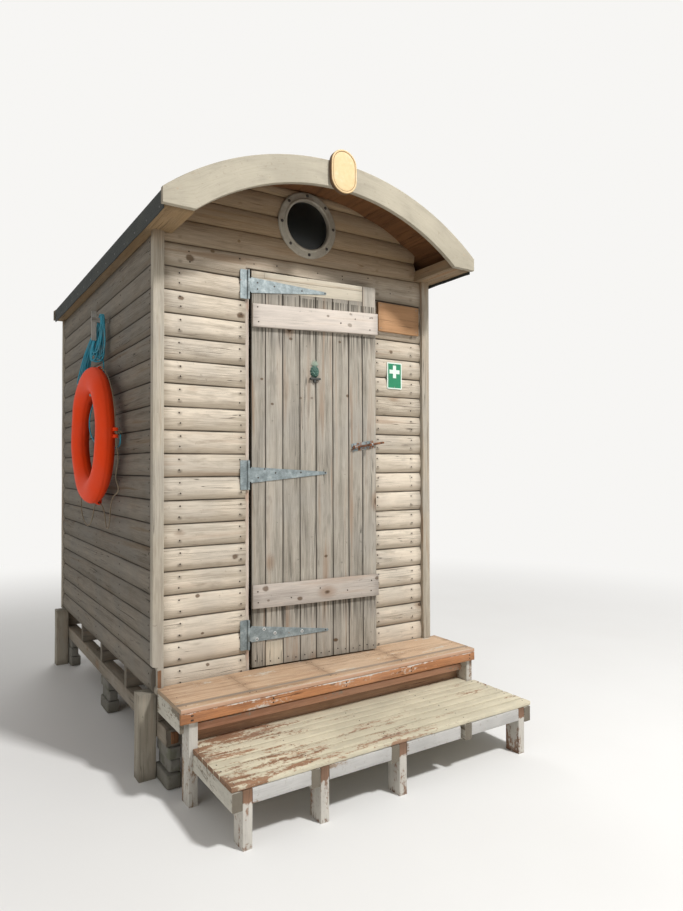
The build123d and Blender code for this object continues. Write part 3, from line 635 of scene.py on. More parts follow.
def rounded_section(width, thickness, radius, arc=3):
    """Section of a sawn board: quarter circles of the radius, joined by flats with two points each."""
    width, thickness = np.atleast_1d(width)[:, None], np.atleast_1d(thickness)[:, None]
    radius = np.minimum(radius, 0.3 * np.minimum(width, thickness))
    out = []
    for corner, (side, up) in enumerate(((1, 1), (-1, 1), (-1, -1), (1, -1))):
        angle = np.radians(np.linspace(90 * corner, 90 * corner + 90, arc))[None]
        a = side * (width / 2 - radius) + radius * np.cos(angle)
        b = up * (thickness / 2 - radius) + radius * np.sin(angle)
        out.append(np.stack([a, b], -1))
        if corner in (0, 2):
            flat = side * np.array([0.33, -0.33])[None] * width / 2
            out.append(np.stack([flat, np.broadcast_to(up * thickness / 2, flat.shape)], -1))
    return np.concatenate(out, 1)


BOARD_RING = 0.08
COURSE_RING = 0.09


class Boards:
    """Collects closed solids, each a profile carried along a line, and makes one mesh of them."""

    def __init__(self, seed=0):
        self.random = np.random.default_rng(settings().seed * 1000 + seed)
        self.points, self.faces, self.grain, self.place, self.tint = [], [], [], [], []
        self.count = 0

    def loft(self, points, ahead, around, across, section, tint=None, shift=None, ends=(True, True)):
        """Adds n solids. points is (n, rings, columns, 3); ahead the metres along each ring and around
        the metres round the profile, with one more for the seam; across the share of the width at
        each column; section the profile's points, which map its cut ends. shift moves the grain, and
        ends says which ends of the board are its real ends, where dirt gathers."""
        n, rings, columns, _ = points.shape
        ahead = np.asarray(ahead)
        ahead = np.broadcast_to(ahead if ahead.ndim == 3 else ahead[..., None], (n, rings, columns))
        around = np.broadcast_to(around, (n, columns + 1))
        across = np.broadcast_to(across, (n, columns + 1))
        index = self.count + np.arange(n * rings * columns).reshape(n, rings, columns)
        quads = ring_faces(index)
        flat = (points - points.mean((1, 2), keepdims=True)).reshape(-1, 3)
        a, b, c, d = (flat[quads[..., k] - self.count] for k in range(4))
        volume = (a * np.cross(b, c)).sum(-1) + (a * np.cross(c, d)).sum(-1)
        volume = volume.sum((1, 2))
        for ring, sign in ((0, -1), (-1, 1)):
            rim = flat[index[:, ring] - self.count]
            middle = rim.mean(1, keepdims=True)
            volume = volume + sign * (middle * np.cross(rim, np.roll(rim, -1, 1))).sum((1, 2))
        moved = self.random.uniform(0, 20, n)[:, None, None, None] if shift is None else shift

        def layer(forward, sideways):
            first, second = sideways[:, None, :-1], sideways[:, None, 1:]
            pair = np.broadcast_to(np.stack([first, second, second, first], -1), quads.shape)
            return np.stack([ring_faces(forward), pair], -1)

        first, last = ahead[:, :1], ahead[:, -1:]
        end = np.minimum(ahead - first + 9 * (not ends[0]), last - ahead + 9 * (not ends[1]))
        grain, place = layer(ahead, around), layer(end, across)
        grain[..., 0] += moved
        tints = self.random.uniform(0, 1, n) if tint is None else np.broadcast_to(tint, n)
        section = np.broadcast_to(section, (n, columns, 2))
        for p in range(n):
            turn = slice(None, None, -1) if volume[p] < 0 else slice(None)
            self.faces += quads[p][..., turn].reshape(-1, 4).tolist()
            self.grain.append(grain[p][..., turn, :].reshape(-1, 2))
            self.place.append(place[p][..., turn, :].reshape(-1, 2))
            self.tint.append(np.full((rings - 1) * columns, tints[p]))
            for ring, first in ((0, True), (-1, False)):
                loop = index[p, ring]
                back = first != (volume[p] < 0)
                order = slice(None, None, -1) if back else slice(None)
                self.faces.append(loop[order].tolist())
                cut = section[p][order]
                self.grain.append(np.stack([cut[:, 0] - 50.0, cut[:, 1]], -1))
                self.place.append(np.tile([0.0, 0.5], (columns, 1)))
                self.tint.append(np.full(1, tints[p]))
        self.points.append(points.reshape(-1, 3))
        self.count += n * rings * columns

    def timbers(self, boxes, run=None, radius=0.002, wave=None, tint=None, broken=0.0):
        """Sawn boards that fill boxes: a rounded section carried along the longest side, or along run,
        with edges that wander by a smooth noise. broken is how deep their near ends are splintered."""
        wave = settings().timber_wave if wave is None else wave
        boxes = np.asarray(boxes, float).reshape(-1, 2, 3)
        tints = None if tint is None else np.broadcast_to(tint, len(boxes))
        size = boxes[:, 1] - boxes[:, 0]
        axes = np.argmax(size, 1) if run is None else np.full(len(boxes), run)
        for axis in np.unique(axes):
            mine = axes == axis
            part, extent = boxes[mine], size[mine]
            others = [k for k in range(3) if k != axis]
            others.sort(key=lambda k: -extent[:, k].mean())
            wide, thin = others
            n = len(part)
            rings = max(3, int(extent[:, axis].max() / BOARD_RING) + 2)
            share = np.linspace(0, 1, rings)
            ahead = share[None] * extent[:, axis][:, None]
            section = rounded_section(extent[:, wide] - 2 * wave, extent[:, thin] - 2 * wave, radius)
            columns = section.shape[1]
            points = np.empty((n, rings, columns, 3))
            middle = part.mean(1)
            side = np.sign(section)
            sway = smooth_noise(self.random, (n, 1, columns // 4), ahead[:, :, None])
            sway = np.repeat(sway, 4, 2)[:, :, :columns]
            bow = smooth_noise(self.random, (n, 1, 1), ahead[:, :, None])
            points[..., axis] = (part[:, 0, axis][:, None] + ahead)[:, :, None]
            if broken:
                points[:, 0, :, axis] += self.random.uniform(0, broken, (n, columns))
            points[..., wide] = (
                middle[:, wide][:, None, None] + section[:, None, :, 0]
                + wave * (0.6 * sway * side[:, None, :, 0] + 0.4 * bow)
            )
            points[..., thin] = middle[:, thin][:, None, None] + section[:, None, :, 1] + wave * sway * 0.9
            across = closed(0.5 + section[:, :, 0] / extent[:, wide][:, None])
            mine_tints = None if tints is None else tints[mine]
            self.loft(points, ahead, lengths_round(section), across, section, mine_tints)

    def courses(self, rows, limits, place, section, tint=None, wave=None, shift=None, ends=(True, True)):
        """Boards laid in rows one over another. rows holds the height of each board's foot and head,
        limits gives the left and right end at a height, and section the profile as shares of the
        height and depths in metres; place turns (along, depth, height) into a point."""
        wave = settings().timber_wave if wave is None else wave
        rows = np.asarray(rows, float)
        share, depth = section[:, 0], section[:, 1]
        height = rows[:, :1] + share[None] * (rows[:, 1:] - rows[:, :1])
        left, right = limits(height)
        longest = (right - left).max()
        rings = max(3, int(longest / COURSE_RING) + 2)
        t = np.linspace(0, 1, rings)[None, :, None]
        along = left[:, None, :] + t * (right - left)[:, None, :]
        reach = (right - left).max(1)
        ahead = np.linspace(0, 1, rings)[None] * reach[:, None]
        sway = smooth_noise(self.random, (len(rows), 1, 1), ahead[:, :, None])
        dent = smooth_noise(self.random, (len(rows), 1, 1), ahead[:, :, None] + share[None, None] * 0.4)
        edge = np.abs(2 * share - 1)[None, None]
        front = (depth < depth.max() - 1e-6)[None, None]
        z = height[:, None] + wave * 1.2 * sway * edge * front
        d = depth[None, None] + wave * (dent + 1) * 0.5 * front
        d, z = np.broadcast_to(d, along.shape), np.broadcast_to(z, along.shape)
        points = place(along, d, z)
        cover = (rows[:, 1] - rows[:, 0]).mean()
        flat = np.stack([share * cover, depth], -1)
        around = lengths_round(flat) + share.min() * cover
        self.loft(points, along, around, closed(share), flat[None], tint, shift, ends)

    def prism(self, outline, place, start, stop):
        """A board of any section, given as an outline, carried from start to stop."""
        section = rounded(outline, 0.002)
        rings = max(2, int((stop - start) / BOARD_RING) + 2)
        ahead = np.linspace(0, stop - start, rings)
        points = place(
            *np.broadcast_arrays(start + ahead[:, None], section[None, :, 0], section[None, :, 1])
        )
        across = closed((section[:, 0] - section[:, 0].min()) / np.ptp(section[:, 0]))
        self.loft(points[None], ahead[None], lengths_round(section), across, section[None])

    def piece(self, name, material, replaces=(), slot=None, body="hut", sharp=40, place=None):
        """Makes one piece of all that was collected, moved by place where that is given."""
        points = np.concatenate(self.points)
        mesh = make_mesh(name, place(points) if place else points, self.faces, sharp)
        set_uv(mesh, "grain", np.concatenate(self.grain))
        set_uv(mesh, "place", np.concatenate(self.place))
        tint = mesh.attributes.new("tint", "FLOAT", "FACE")
        tint.data.foreach_set("value", np.concatenate(self.tint).astype(np.float32))
        stand(name, mesh, material, replaces, slot, body)


def sawn(seed, name, node, material, slot, **shape):
    """One piece of sawn boards in place of all the solids of a node."""
    boards = Boards(seed)
    boards.timbers(solids(node), **shape)
    boards.piece(name, material, (node,), slot)


def stand(name, data, material, replaces=(), slot=None, body="hut"):
    """Puts finished mesh or curve data into the scene as a piece that rides on a body."""
    made = bpy.data.objects.new(name, data)
    bpy.context.scene.collection.objects.link(made)
    data.materials.append(material)
    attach(made, body)
    if replaces:
        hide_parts(*replaces)
    return made


def rounded(outline, radius):
    """Outline with each corner cut back by the radius along both of its sides."""
    outline = np.asarray(outline, float)

    def toward(other):
        run = other - outline
        size = np.linalg.norm(run, axis=1, keepdims=True)
        return outline + run / size * np.minimum(radius, 0.3 * size)

    return np.stack([toward(np.roll(outline, 1, 0)), toward(np.roll(outline, -1, 0))], 1).reshape(-1, 2)


def round_corners(corners, radius, arc=6):
    """Outline of a rectangle, given by its corners, with quarter circles at them."""
    corners = np.asarray(corners, float)
    middle = corners.mean(0)
    out = []
    for corner in corners:
        side = np.sign(corner - middle)
        start = math.atan2(side[1], side[0]) - math.pi / 4
        angle = start + np.linspace(0, math.pi / 2, arc)
        out.append(corner - side * radius + radius * np.stack([np.cos(angle), np.sin(angle)], 1))
    return np.concatenate(out)


def inset(outline, by):
    """Outline moved inwards by a distance, whichever way it runs."""
    before, after = np.roll(outline, 1, 0), np.roll(outline, -1, 0)
    run = after - before
    normal = np.stack([-run[:, 1], run[:, 0]], 1)
    normal /= np.linalg.norm(normal, axis=1, keepdims=True)
    area = (outline[:, 0] * after[:, 1] - after[:, 0] * outline[:, 1]).sum()
    return outline + normal * by * np.sign(area)


class Parts:
    """Collects closed surfaces, each turned to face outwards, and makes one mesh of them."""

    def __init__(self):
        self.points, self.faces, self.count = [], [], 0

    def grid(self, points, loop=False):
        """A surface of rings, each closed; the first and last ring are capped unless they loop."""
        rows, columns = points.shape[:2]
        index = np.arange(rows * columns).reshape(rows, columns)
        here = index if loop else index[:-1]
        there = np.roll(index, -1, 0) if loop else index[1:]
        quads = np.stack([here, np.roll(here, -1, 1), np.roll(there, -1, 1), there], -1).reshape(-1, 4)
        caps = [] if loop else [index[0, ::-1], index[-1]]
        flat = points.reshape(-1, 3)
        local = flat - flat.mean(0)
        a, b, c, d = (local[quads[:, k]] for k in range(4))
        volume = (a * np.cross(b, c)).sum() + (a * np.cross(c, d)).sum()
        for cap in caps:
            rim = local[cap]
            volume += (rim.mean(0) * np.cross(rim, np.roll(rim, -1, 0))).sum()
        turn = slice(None, None, -1) if volume < 0 else slice(None)
        self.faces += (quads[:, turn] + self.count).tolist()
        self.faces += [(cap[turn] + self.count).tolist() for cap in caps]
        self.points.append(flat)
        self.count += len(flat)

    def lathe(self, centre, axis, profile, steps=32, closed=False, place=None):
        """A profile of radii and distances along an axis, turned round it."""
        axis = np.array(axis, float)
        side = np.cross(axis, (0.0, 0.0, 1.0)) if abs(axis[2]) < 0.9 else np.array((1.0, 0.0, 0.0))
        side /= np.linalg.norm(side)
        up = np.cross(side, axis)
        angle = full_turn(steps)[None, :, None]
        profile = np.asarray(profile, float)[:, None]
        spoke = np.cos(angle) * side + np.sin(angle) * up
        points = np.asarray(centre, float) + profile[..., :1] * spoke + profile[..., 1:] * axis
        self.grid(place(points) if place else points, loop=closed)

    def plate(self, outline, place, levels):
        """An outline carried through levels, each an inset and a distance out from its back."""
        rows = []
        for inwards, out in levels:
            line = inset(outline, inwards) if inwards else np.asarray(outline)
            rows.append(place(line[:, 0], line[:, 1], out))
        self.grid(np.array(rows))

    def stone(self, low, high, seed):
        """A rough block: a grid on a rounded box, dented inwards by noise."""
        random = np.random.default_rng(settings().seed * 100 + seed)
        middle, half = (low + high) / 2, (high - low) / 2
        v = np.linspace(-0.98, 0.98, 26)[:, None] * math.pi / 2
        u = full_turn(48)[None]

        def power(value, by):
            return np.sign(value) * np.abs(value) ** by

        wide = power(np.cos(v), 0.18)
        unit = xyz(wide * power(np.cos(u), 0.22), wide * power(np.sin(u), 0.22), power(np.sin(v), 0.18))
        rough = 0.0
        for wave in (19.0, 41.0, 83.0):
            way = random.normal(size=(3, 3)) * wave
            rough = rough + np.prod(np.sin(unit * half @ way + random.uniform(0, 6, 3)), -1) * 9.0 / wave
        self.grid(middle + unit * half * (0.985 - 0.03 * np.abs(rough))[..., None])

    def piece(self, name, material, replaces=(), slot=None, body="hut", sharp=40):
        """Makes one piece of all that was collected."""
        mesh = make_mesh(name, np.concatenate(self.points), self.faces, sharp)
        stand(name, mesh, material, replaces, slot, body)


def heads(places, outward, radius=0.004, height=0.0018, sides=10, slot_depth=0.0):
    """Nail or screw heads: low domes at places, each a fan of rings round its outward direction.
    Returns points and faces of all of them."""
    places = np.asarray(places, float).reshape(-1, 3)
    outward = np.broadcast_to(np.asarray(outward, float), places.shape)
    outward = outward / np.linalg.norm(outward, axis=1, keepdims=True)
    helper = np.where(np.abs(outward[:, 2:]) < 0.9, (0.0, 0.0, 1.0), (1.0, 0.0, 0.0))
    side = np.cross(outward, helper)
    side /= np.linalg.norm(side, axis=1, keepdims=True)
    up = np.cross(outward, side)
    angle = full_turn(sides)
    share = np.array([1.0, 1.0, 0.8, 0.35])
    lift = np.array([-1.0, 0.25, 0.85, 1.0 - slot_depth]) * height
    ring = np.cos(angle)[None, :, None] * side[:, None] + np.sin(angle)[None, :, None] * up[:, None]
    points = (
        places[:, None, None]
        + radius * share[None, :, None, None] * ring[:, None]
        + lift[None, :, None, None] * outward[:, None, None]
    )
    index = np.arange(points.size // 3).reshape(points.shape[:3])
    quads = ring_faces(index).reshape(-1, 4).tolist()
    return points.reshape(-1, 3), quads + index[:, -1].tolist() + index[:, 0, ::-1].tolist()


def head_piece(name, groups, material, body="hut"):
    """Joins groups of nail or screw heads into one piece."""
    points, faces, count = [], [], 0
    for group_points, group_faces in groups:
        points.append(group_points)
        faces += [[i + count for i in face] for face in group_faces]
        count += len(group_points)
    stand(name, make_mesh(name, np.concatenate(points), faces, 50), material, body=body)


def along_line(points, step):
    """Points at even distances along a line, and the distances."""
    points = np.asarray(points, float)
    far = np.concatenate([[0], np.cumsum(np.linalg.norm(np.diff(points, axis=0), axis=1))])
    count = max(4, int(far[-1] / step) + 1)
    at = np.linspace(0, far[-1], count)
    return np.stack([np.interp(at, far, points[:, k]) for k in range(3)], 1), at


def rope_points(name, controls):
    """Even points along one open spline of third order through a list of control points."""
    curve = bpy.data.curves.new(name, "CURVE")
    curve.dimensions = "3D"
    spline = curve.splines.new("NURBS")
    spline.points.add(len(controls) - 1)
    flat = np.concatenate([controls, np.ones((len(controls), 1))], 1)
    spline.points.foreach_set("co", flat.astype(np.float32).ravel())
    spline.order_u = 3
    spline.use_endpoint_u = True
    spline.resolution_u = 12
    holder = bpy.data.objects.new(name, curve)
    line = bpy.data.meshes.new_from_object(holder)
    points = np.empty(len(line.vertices) * 3)
    line.vertices.foreach_get("co", points)
    bpy.data.objects.remove(holder)
    bpy.data.meshes.remove(line)
    bpy.data.curves.remove(curve)
    return points.reshape(-1, 3)


def rope_mesh(name, points, diameter, lay, strands=3, columns=12, step=0.003):
    """Laid rope: a section with a lobe for each strand, which turns as it is carried along the
    line. The radius at angle a and distance s is that of a circle, dented by the absolute sine of
    strands / 2 times (a - 2 pi s / lay)."""
    line, far = along_line(points, step)
    tangent = np.gradient(line, axis=0)
    tangent /= np.linalg.norm(tangent, axis=1, keepdims=True)
    side = np.empty_like(line)
    side[0] = np.cross(tangent[0], (0.31, 0.87, 0.12))
    side[0] /= np.linalg.norm(side[0])
    for i in range(1, len(line)):
        kept = side[i - 1] - tangent[i] * (side[i - 1] @ tangent[i])
        side[i] = kept / np.linalg.norm(kept)
    up = np.cross(tangent, side)
    angle = full_turn(columns)[None]
    lobe = np.abs(np.sin(strands / 2 * (angle - 2 * math.pi * far[:, None] / lay)))
    radius = diameter / 2 * (0.84 + 0.16 * lobe)
    grid = (
        line[:, None]
        + (radius * np.cos(angle))[..., None] * side[:, None]
        + (radius * np.sin(angle))[..., None] * up[:, None]
    )
    index = np.arange(len(line) * columns).reshape(-1, columns)
    quads = np.roll(ring_faces(index), -1, -1).reshape(-1, 4)
    faces = quads.tolist() + [index[0, ::-1].tolist(), index[-1].tolist()]
    mesh = make_mesh(name, grid.reshape(-1, 3), faces)
    s = np.stack([far[:-1], far[1:], far[1:], far[:-1]], -1)[:, None]
    a = np.arange(columns) / columns
    a = np.stack([a + 1 / columns, a + 1 / columns, a, a], -1)[None]
    both = np.stack(np.broadcast_arrays(s, a), -1).reshape(-1, 2)
    set_uv(mesh, "grain", np.concatenate([both, np.zeros((2 * columns, 2))]))
    return mesh, line, far[-1]


def rope_finish(f, colour, lay, strands=3, dirt=0.3):
    """Laid rope: fibres along each strand, painted shade in the grooves between strands, soiled in places.
    """
    far, turn, _ = f.uv("grain").parts()
    twist = turn * strands - far * (strands / lay)
    groove = abs((twist * math.pi).sine())
    fibre = f.noise(f.vector(far * 90.0, twist * 9.0, 0.0), 1.0, 3.0, 0.6)
    soil = f.noise(f.place(), 14.0, 3.0)
    shade = f.mix(fibre, times(0.62, colour), tuple(min(1.0, 1.35 * c + 0.02) for c in colour))
    # Painted shade: the grooves between the strands are darkened.
    shade = f.mix(groove.step(0.6, 0.1) * 0.85, shade, times(0.16, colour))
    shade = f.mix(soil.step(0.45, 0.75) * dirt, shade, (0.20, 0.17, 0.12))
    return f.set(
        Base_Color=shade, Roughness=0.62 + 0.2 * fibre, Normal=f.bump(0.6 * fibre + groove, 0.0006, 0.8)
    )


# Stage: camera, lights and floor

PHOTO_HEIGHT = 911
FOCAL_PIXELS = 650.0
CAMERA_PLACE = hut(-1751.5, -3022.0, 1457.5)
CAMERA_TURN = (0.5771, 0.0168, -0.0027)
BACKDROP = 0.93
AMBIENT = 0.42
FLOOR_REACH = 40.0
WARM_WHITE = (1.0, 0.99, 0.97, 1.0)


def camera_sees(f):
    """A value of 1 for what the camera sees, itself, in a mirror or through glass."""
    path = f.add("ShaderNodeLightPath", {}, {})
    rays = [Value(f, path.outputs[f"Is {kind} Ray"]) for kind in ("Camera", "Glossy", "Transmission")]
    return rays[0].most(rays[1]).most(rays[2])


def make_stage():
    """Sets the camera, the soft lights and the pale floor."""
    scene = bpy.context.scene
    scene.view_settings.view_transform = "Standard"
    turn, pitch, roll = CAMERA_TURN
    level = math.cos(pitch)
    ahead = Vector((math.sin(turn) * level, math.cos(turn) * level, math.sin(pitch)))
    right = Vector((math.cos(turn), -math.sin(turn), 0.0))
    up = right.cross(ahead)
    right, up = right * math.cos(roll) + up * math.sin(roll), up * math.cos(roll) - right * math.sin(roll)
    camera = bpy.data.cameras.new("photo_camera")
    camera.sensor_fit = "VERTICAL"
    camera.angle_y = 2 * math.atan(PHOTO_HEIGHT / 2 / FOCAL_PIXELS)
    camera.clip_end = 200
    holder = bpy.data.objects.new("photo_camera", camera)
    scene.collection.objects.link(holder)
    turned_frame = Matrix((right, up, -ahead)).transposed().to_4x4()
    holder.matrix_world = Matrix.Translation(CAMERA_PLACE) @ turned_frame
    scene.camera = holder

    for name, size, power, place, target in (
        ("key_light", 1.0, 800.0, (2.2, -6.4, 7.9), (0.0, 0.0, 1.2)),
        ("fill_light", 5.0, 42.0, (-6.0, -3.2, 3.4), (0.0, 0.0, 1.3)),
        ("back_light", 4.0, 150.0, (1.5, 6.5, 5.0), (0.0, 0.3, 1.5)),
    ):
        lamp = bpy.data.lights.new(name, "AREA")
        lamp.shape = "DISK"
        lamp.size = size
        lamp.energy = power
        light = bpy.data.objects.new(name, lamp)
        scene.collection.objects.link(light)
        light.location = place
        light.rotation_euler = (Vector(target) - Vector(place)).to_track_quat("-Z", "Y").to_euler()

    world = bpy.data.worlds.new("studio")
    scene.world = world
    f = Finish(world, "Background")
    level = {0: camera_sees(f), "To Min": AMBIENT, "To Max": BACKDROP}
    f.set(Color=WARM_WHITE, Strength=f.node("ShaderNodeMapRange", {}, level))

    floor = bpy.data.meshes.new("pale_floor")
    corners = [(x * FLOOR_REACH, y * FLOOR_REACH, 0) for x, y in ((-1, -1), (1, -1), (1, 1), (-1, 1))]
    floor.from_pydata(corners, [], [(0, 1, 2, 3)])
    f = Finish(bpy.data.materials.new("pale_floor"))
    x, y, _ = f.place().parts()
    tone = f.noise(f.place(), 1.4, 3.0)
    far = ((x ** 2.0 + y ** 2.0) ** 0.5).step(2.6, 7.0)
    f.set(Base_Color=f.mix(tone, (0.74, 0.73, 0.71), (0.78, 0.775, 0.76)), Roughness=0.9)
    glow = f.add("ShaderNodeEmission", {}, {"Color": WARM_WHITE, "Strength": BACKDROP})
    blend = f.add("ShaderNodeMixShader", {}, {0: far * camera_sees(f)})
    f.tree.links.new(f.shader.outputs[0], blend.inputs[1])
    f.tree.links.new(glow.outputs[0], blend.inputs[2])
    f.tree.links.new(blend.outputs[0], f.tree.nodes["Material Output"].inputs["Surface"])
    floor.materials.append(f.material)
    ground = bpy.data.objects.new("pale_floor", floor)
    scene.collection.objects.link(ground)


# Ropes

ROPE = 0.008
LINE = 0.006
LINE_LAY = 0.018
BUOY_PLACE, BUOY_HEIGHT = 845, 1637


def wall_side(route):
    """Places on the left wall, given as the distance ahead of the lifebuoy's middle, the height
    above it and the distance out from the wall, in millimetres."""
    ahead, up, out = np.asarray(route, float).T
    return hut(-836 - out, BUOY_PLACE - ahead, BUOY_HEIGHT + up)


LINE_ROUTE = (
    (381, -9, 54), (381, -43, 54), (393, -81, 48), (399, -137, 43), (393, -191, 50), (387, -241, 56),
    (405, -291, 40), (345, -319, 36), (270, -334, 36), (211, -371, 32), (173, -407, 29), (155, -459, 26),
    (133, -505, 26), (103, -527, 26), (73, -519, 27), (67, -487, 30), (75, -443, 36), (69, -403, 45),
    (37, -381, 54), (-37, -381, 54), (-68, -399, 57), (-81, -437, 62), (-103, -479, 64), (-145, -511, 64),
    (-215, -531, 64), (-290, -523, 64), (-360, -491, 64), (-407, -441, 64), (-423, -375, 63),
    (-425, -297, 61), (-413, -217, 59), (-398, -147, 57), (-387, -81, 55), (-381, -37, 54), (-381, 37, 54),
    (-372, 93, 54), (-347, 162, 54), (-310, 225, 54), (-261, 280, 54), (-203, 325, 54), (-137, 358, 54),
    (-83, 374, 54), (-37, 381, 54), (37, 381, 54), (83, 374, 54), (137, 358, 54), (203, 325, 54),
    (261, 280, 54), (310, 225, 54), (347, 162, 54), (372, 93, 54), (381, 43, 54), (381, 9, 54)
)
TAIL_ROUTE = (
    (385, -9, 30), (385, -33, 30), (371, -57, 28), (340, -69, 25), (290, -72, 23), (225, -78, 22),
    (155, -81, 24), (90, -77, 36), (30, -63, 56), (-17, -33, 75), (-48, 15, 89), (-57, 75, 93),
    (-56, 135, 86), (-43, 191, 70), (-33, 243, 47), (-25, 297, 25), (-15, 353, 21), (-2, 397, 27),
    (-2, 425, 27),
)


def hank_points():
    """Loops of the rope over the hook. Ten of them hang below the arm: each is an oval, squared at its
    ends, whose legs part towards the foot, one near the wall and one out from it. Four more lie over
    the lifebuoy's shoulder: out along a falling line and back beneath it."""
    steps, short = 16, 10
    loop = np.arange(short + 1)
    foot_ahead = np.array([0, -25, 5, -15, -5, -30, 8, -12, 0, -20, -10])
    foot_up = np.array([437, 425, 470, 440, 420, 455, 482, 432, 450, 426, 445])
    foot_out = np.array([27, 50, 80, 40, 65, 90, 45, 72, 55, 85, 60])
    foot_spread = np.array([4, 26, 18, 14, 38, 12, 22, 34, 30, 16, 10])
    head_up = 682 + 8.5 * (loop % 3)
    head_out = 30 + 1.8 * loop + 4 * np.sin(2.4 * loop)
    turn = 2 * math.pi * np.arange(1, steps * short + 3) / steps
    foot = np.round(turn / (2 * math.pi) + 1e-6).astype(int)
    head = (turn / (2 * math.pi) + 1e-6).astype(int)
    rise = (1 - np.cos(turn)) / 2
    lean = np.sign(np.sin(turn)) * np.abs(np.sin(turn)) ** 0.45
    ahead = -(24 + 2 * np.cos(1.7 * head)) * lean + foot_ahead[foot] * (1 - rise)
    up = foot_up[foot] * (1 - rise) + head_up[head] * rise
    out = foot_out[foot] * (1 - rise**0.8) + head_out[head] * rise**0.8
    points = [xyz(ahead, up, out + foot_spread[foot] * lean * (1 - rise) ** 0.8)]
    lobe = np.array(
        [
            (-24, 664, 42), (-60, 618, 54), (-105, 563, 75), (-165, 468, 98), (-217, 383, 108),
            (-255, 334, 112)
        ]
    )
    for loop in range(4):
        swing = 5.0 * math.sin(1.9 * loop + 0.6)
        longer = 1 + 0.03 * math.cos(2.2 * loop)
        outwards = 15.0 * (loop - 3)
        gap = np.array([5, 6, 9, 14, 20, 22])[:, None] * (0.8 + 0.35 * math.sin(2.6 * loop + 1) ** 2)
        fall = np.gradient(lobe, axis=0)
        normal = np.stack([-fall[:, 1], fall[:, 0], np.zeros(6)], 1)
        normal /= np.linalg.norm(normal, axis=1, keepdims=True)
        normal *= np.sign(normal[:, 1:2])
        line = lobe * (longer, 1, 1) + np.linspace(0.1, 1.2, 6)[:, None] * (0, swing, outwards)
        upper = line + normal * gap
        lower = line - normal * gap
        beyond = (lobe[-1] - lobe[-2]) / np.linalg.norm(lobe[-1] - lobe[-2]) * 13
        head = [(-22, 686, 40), (0, 694 + 2 * loop, 38), (22, 686, 37), (25, 655, 38), (14, 628, 42)]
        head = np.array(head, float) + (0, 0.5 * swing, 4.0 * (loop - 1.5))
        under = head[-1] + np.array([(-26, -17, 6), (-52, -48, 16)])
        tip = [
            upper[-1] * s + lower[-1] * (1 - s) + beyond * t
            for s, t in ((1, 0.6), (0.7, 1.6), (0.3, 1.6), (0, 0.6))
        ]
        points += [head[::-1], upper, np.array(tip), lower[::-1][:4], under[::-1]]
    return np.concatenate(points)


def make_ropes():
    """Lays the rope over its hook and the grab line round the lifebuoy."""
    look = settings()
    controls = wall_side(np.concatenate([np.array(TAIL_ROUTE, float), hank_points()]))
    mesh, line, length = rope_mesh("blue_rope", rope_points("blue_rope", controls), ROPE, look.rope_lay)
    material = finish("rope_strands", rope_finish, look.rope_colour[:], look.rope_lay)
    rope = stand("blue_rope", mesh, material, ("rope_tail", "rope_hank"), "blue_rope")
    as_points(line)
    print("rope length", round(length, 3))

    controls = wall_side(LINE_ROUTE)
    mesh, line, length = rope_mesh(
        "grab_line_rope", rope_points("grab_line_rope", controls), LINE, LINE_LAY, strands=4
    )
    material = finish("line_strands", rope_finish, (0.27, 0.205, 0.125), LINE_LAY, 4, dirt=0.5)
    grab = stand("grab_line_rope", mesh, material, ("grab_line",), "grab_rope")
    low, high = box("line_knot")
    middle, half = (low + high) / 2, (high - low) / 2
    turn = np.linspace(0, 5 * math.pi, 46)
    knot_line = 0.0068
    inner = half[1:] - knot_line / 2
    along = np.interp(turn, (0, turn[-1]), (-1, 1)) * (half[0] - 0.0045)
    wraps = xyz(along, np.cos(turn) * inner[0], np.sin(turn) * inner[1])
    knot_mesh, _, _ = rope_mesh("grab_knot", middle + wraps, knot_line, LINE_LAY, strands=4, step=0.002)
    knot = stand("grab_knot", knot_mesh, material, ("line_knot",), "grab_rope")
    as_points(line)
    print("grab line length", round(length, 3))


# Walls

WALL_NAILS = (-705, -391, 466, 713)


def nail_steel():
    return finish("nail_steel", plain, (0.055, 0.038, 0.028), 0.75, 0.3, 0.2, 90.0)


def loglap(look):
    """Section of a wall board, as shares of its height and depths: a curved face whose depth grows
    with a power of the distance from the middle, a joint at both edges and a flat back."""
    share = np.array(
        [0, 0.012, 0.03, 0.07, 0.13, 0.21, 0.3, 0.4, 0.5, 0.6, 0.7, 0.79, 0.87, 0.93, 0.97, 0.988, 1]
    )
    depth = look.board_round * np.abs(2 * share - 1) ** 2.4
    depth[[0, -1]] = look.board_gap
    depth[[1, -2]] = look.board_gap * 0.72
    face = np.stack([share, depth], 1)
    return np.concatenate([face, [(1.0, BOARD), (0.0, BOARD)]])


def with_shares(section, shares, lowest=0.0):
    """The section with points added at those shares, cut off below the lowest one."""
    face, back = section[:-2], section[-1, 1]
    shares = [share for share in shares if 0 < share < 1]
    every = np.union1d(face[:, 0], [*shares, lowest])
    every = every[every >= lowest]
    line = np.stack([every, np.interp(every, face[:, 0], face[:, 1])], 1)
    return np.concatenate([line, [(1.0, back), (lowest, back)]])


LINING_SECTION = np.array(
    [
        (0.0, WALL - 0.004), (0.03, WALL), (0.5, WALL), (0.97, WALL), (1.0, WALL - 0.004), (1.0, 0.060),
        (0.0, 0.060)
    ]
)


def rows_between(joints):
    """Rows of boards from a list of the heights of their joints, in millimetres."""
    joints = np.asarray(joints, float) / 1000
    return np.stack([joints[:-1], joints[1:]], 1)


def front_place(along, depth, height):
    return xyz(MIDDLE + along, FACE + depth, height)


def back_place(along, depth, height):
    return xyz(MIDDLE - along, BACK - depth, height)


def left_place(along, depth, height):
    return xyz(LEFT + depth, FACE + along, height)


def right_place(along, depth, height):
    return xyz(RIGHT - depth, FACE + along, height)


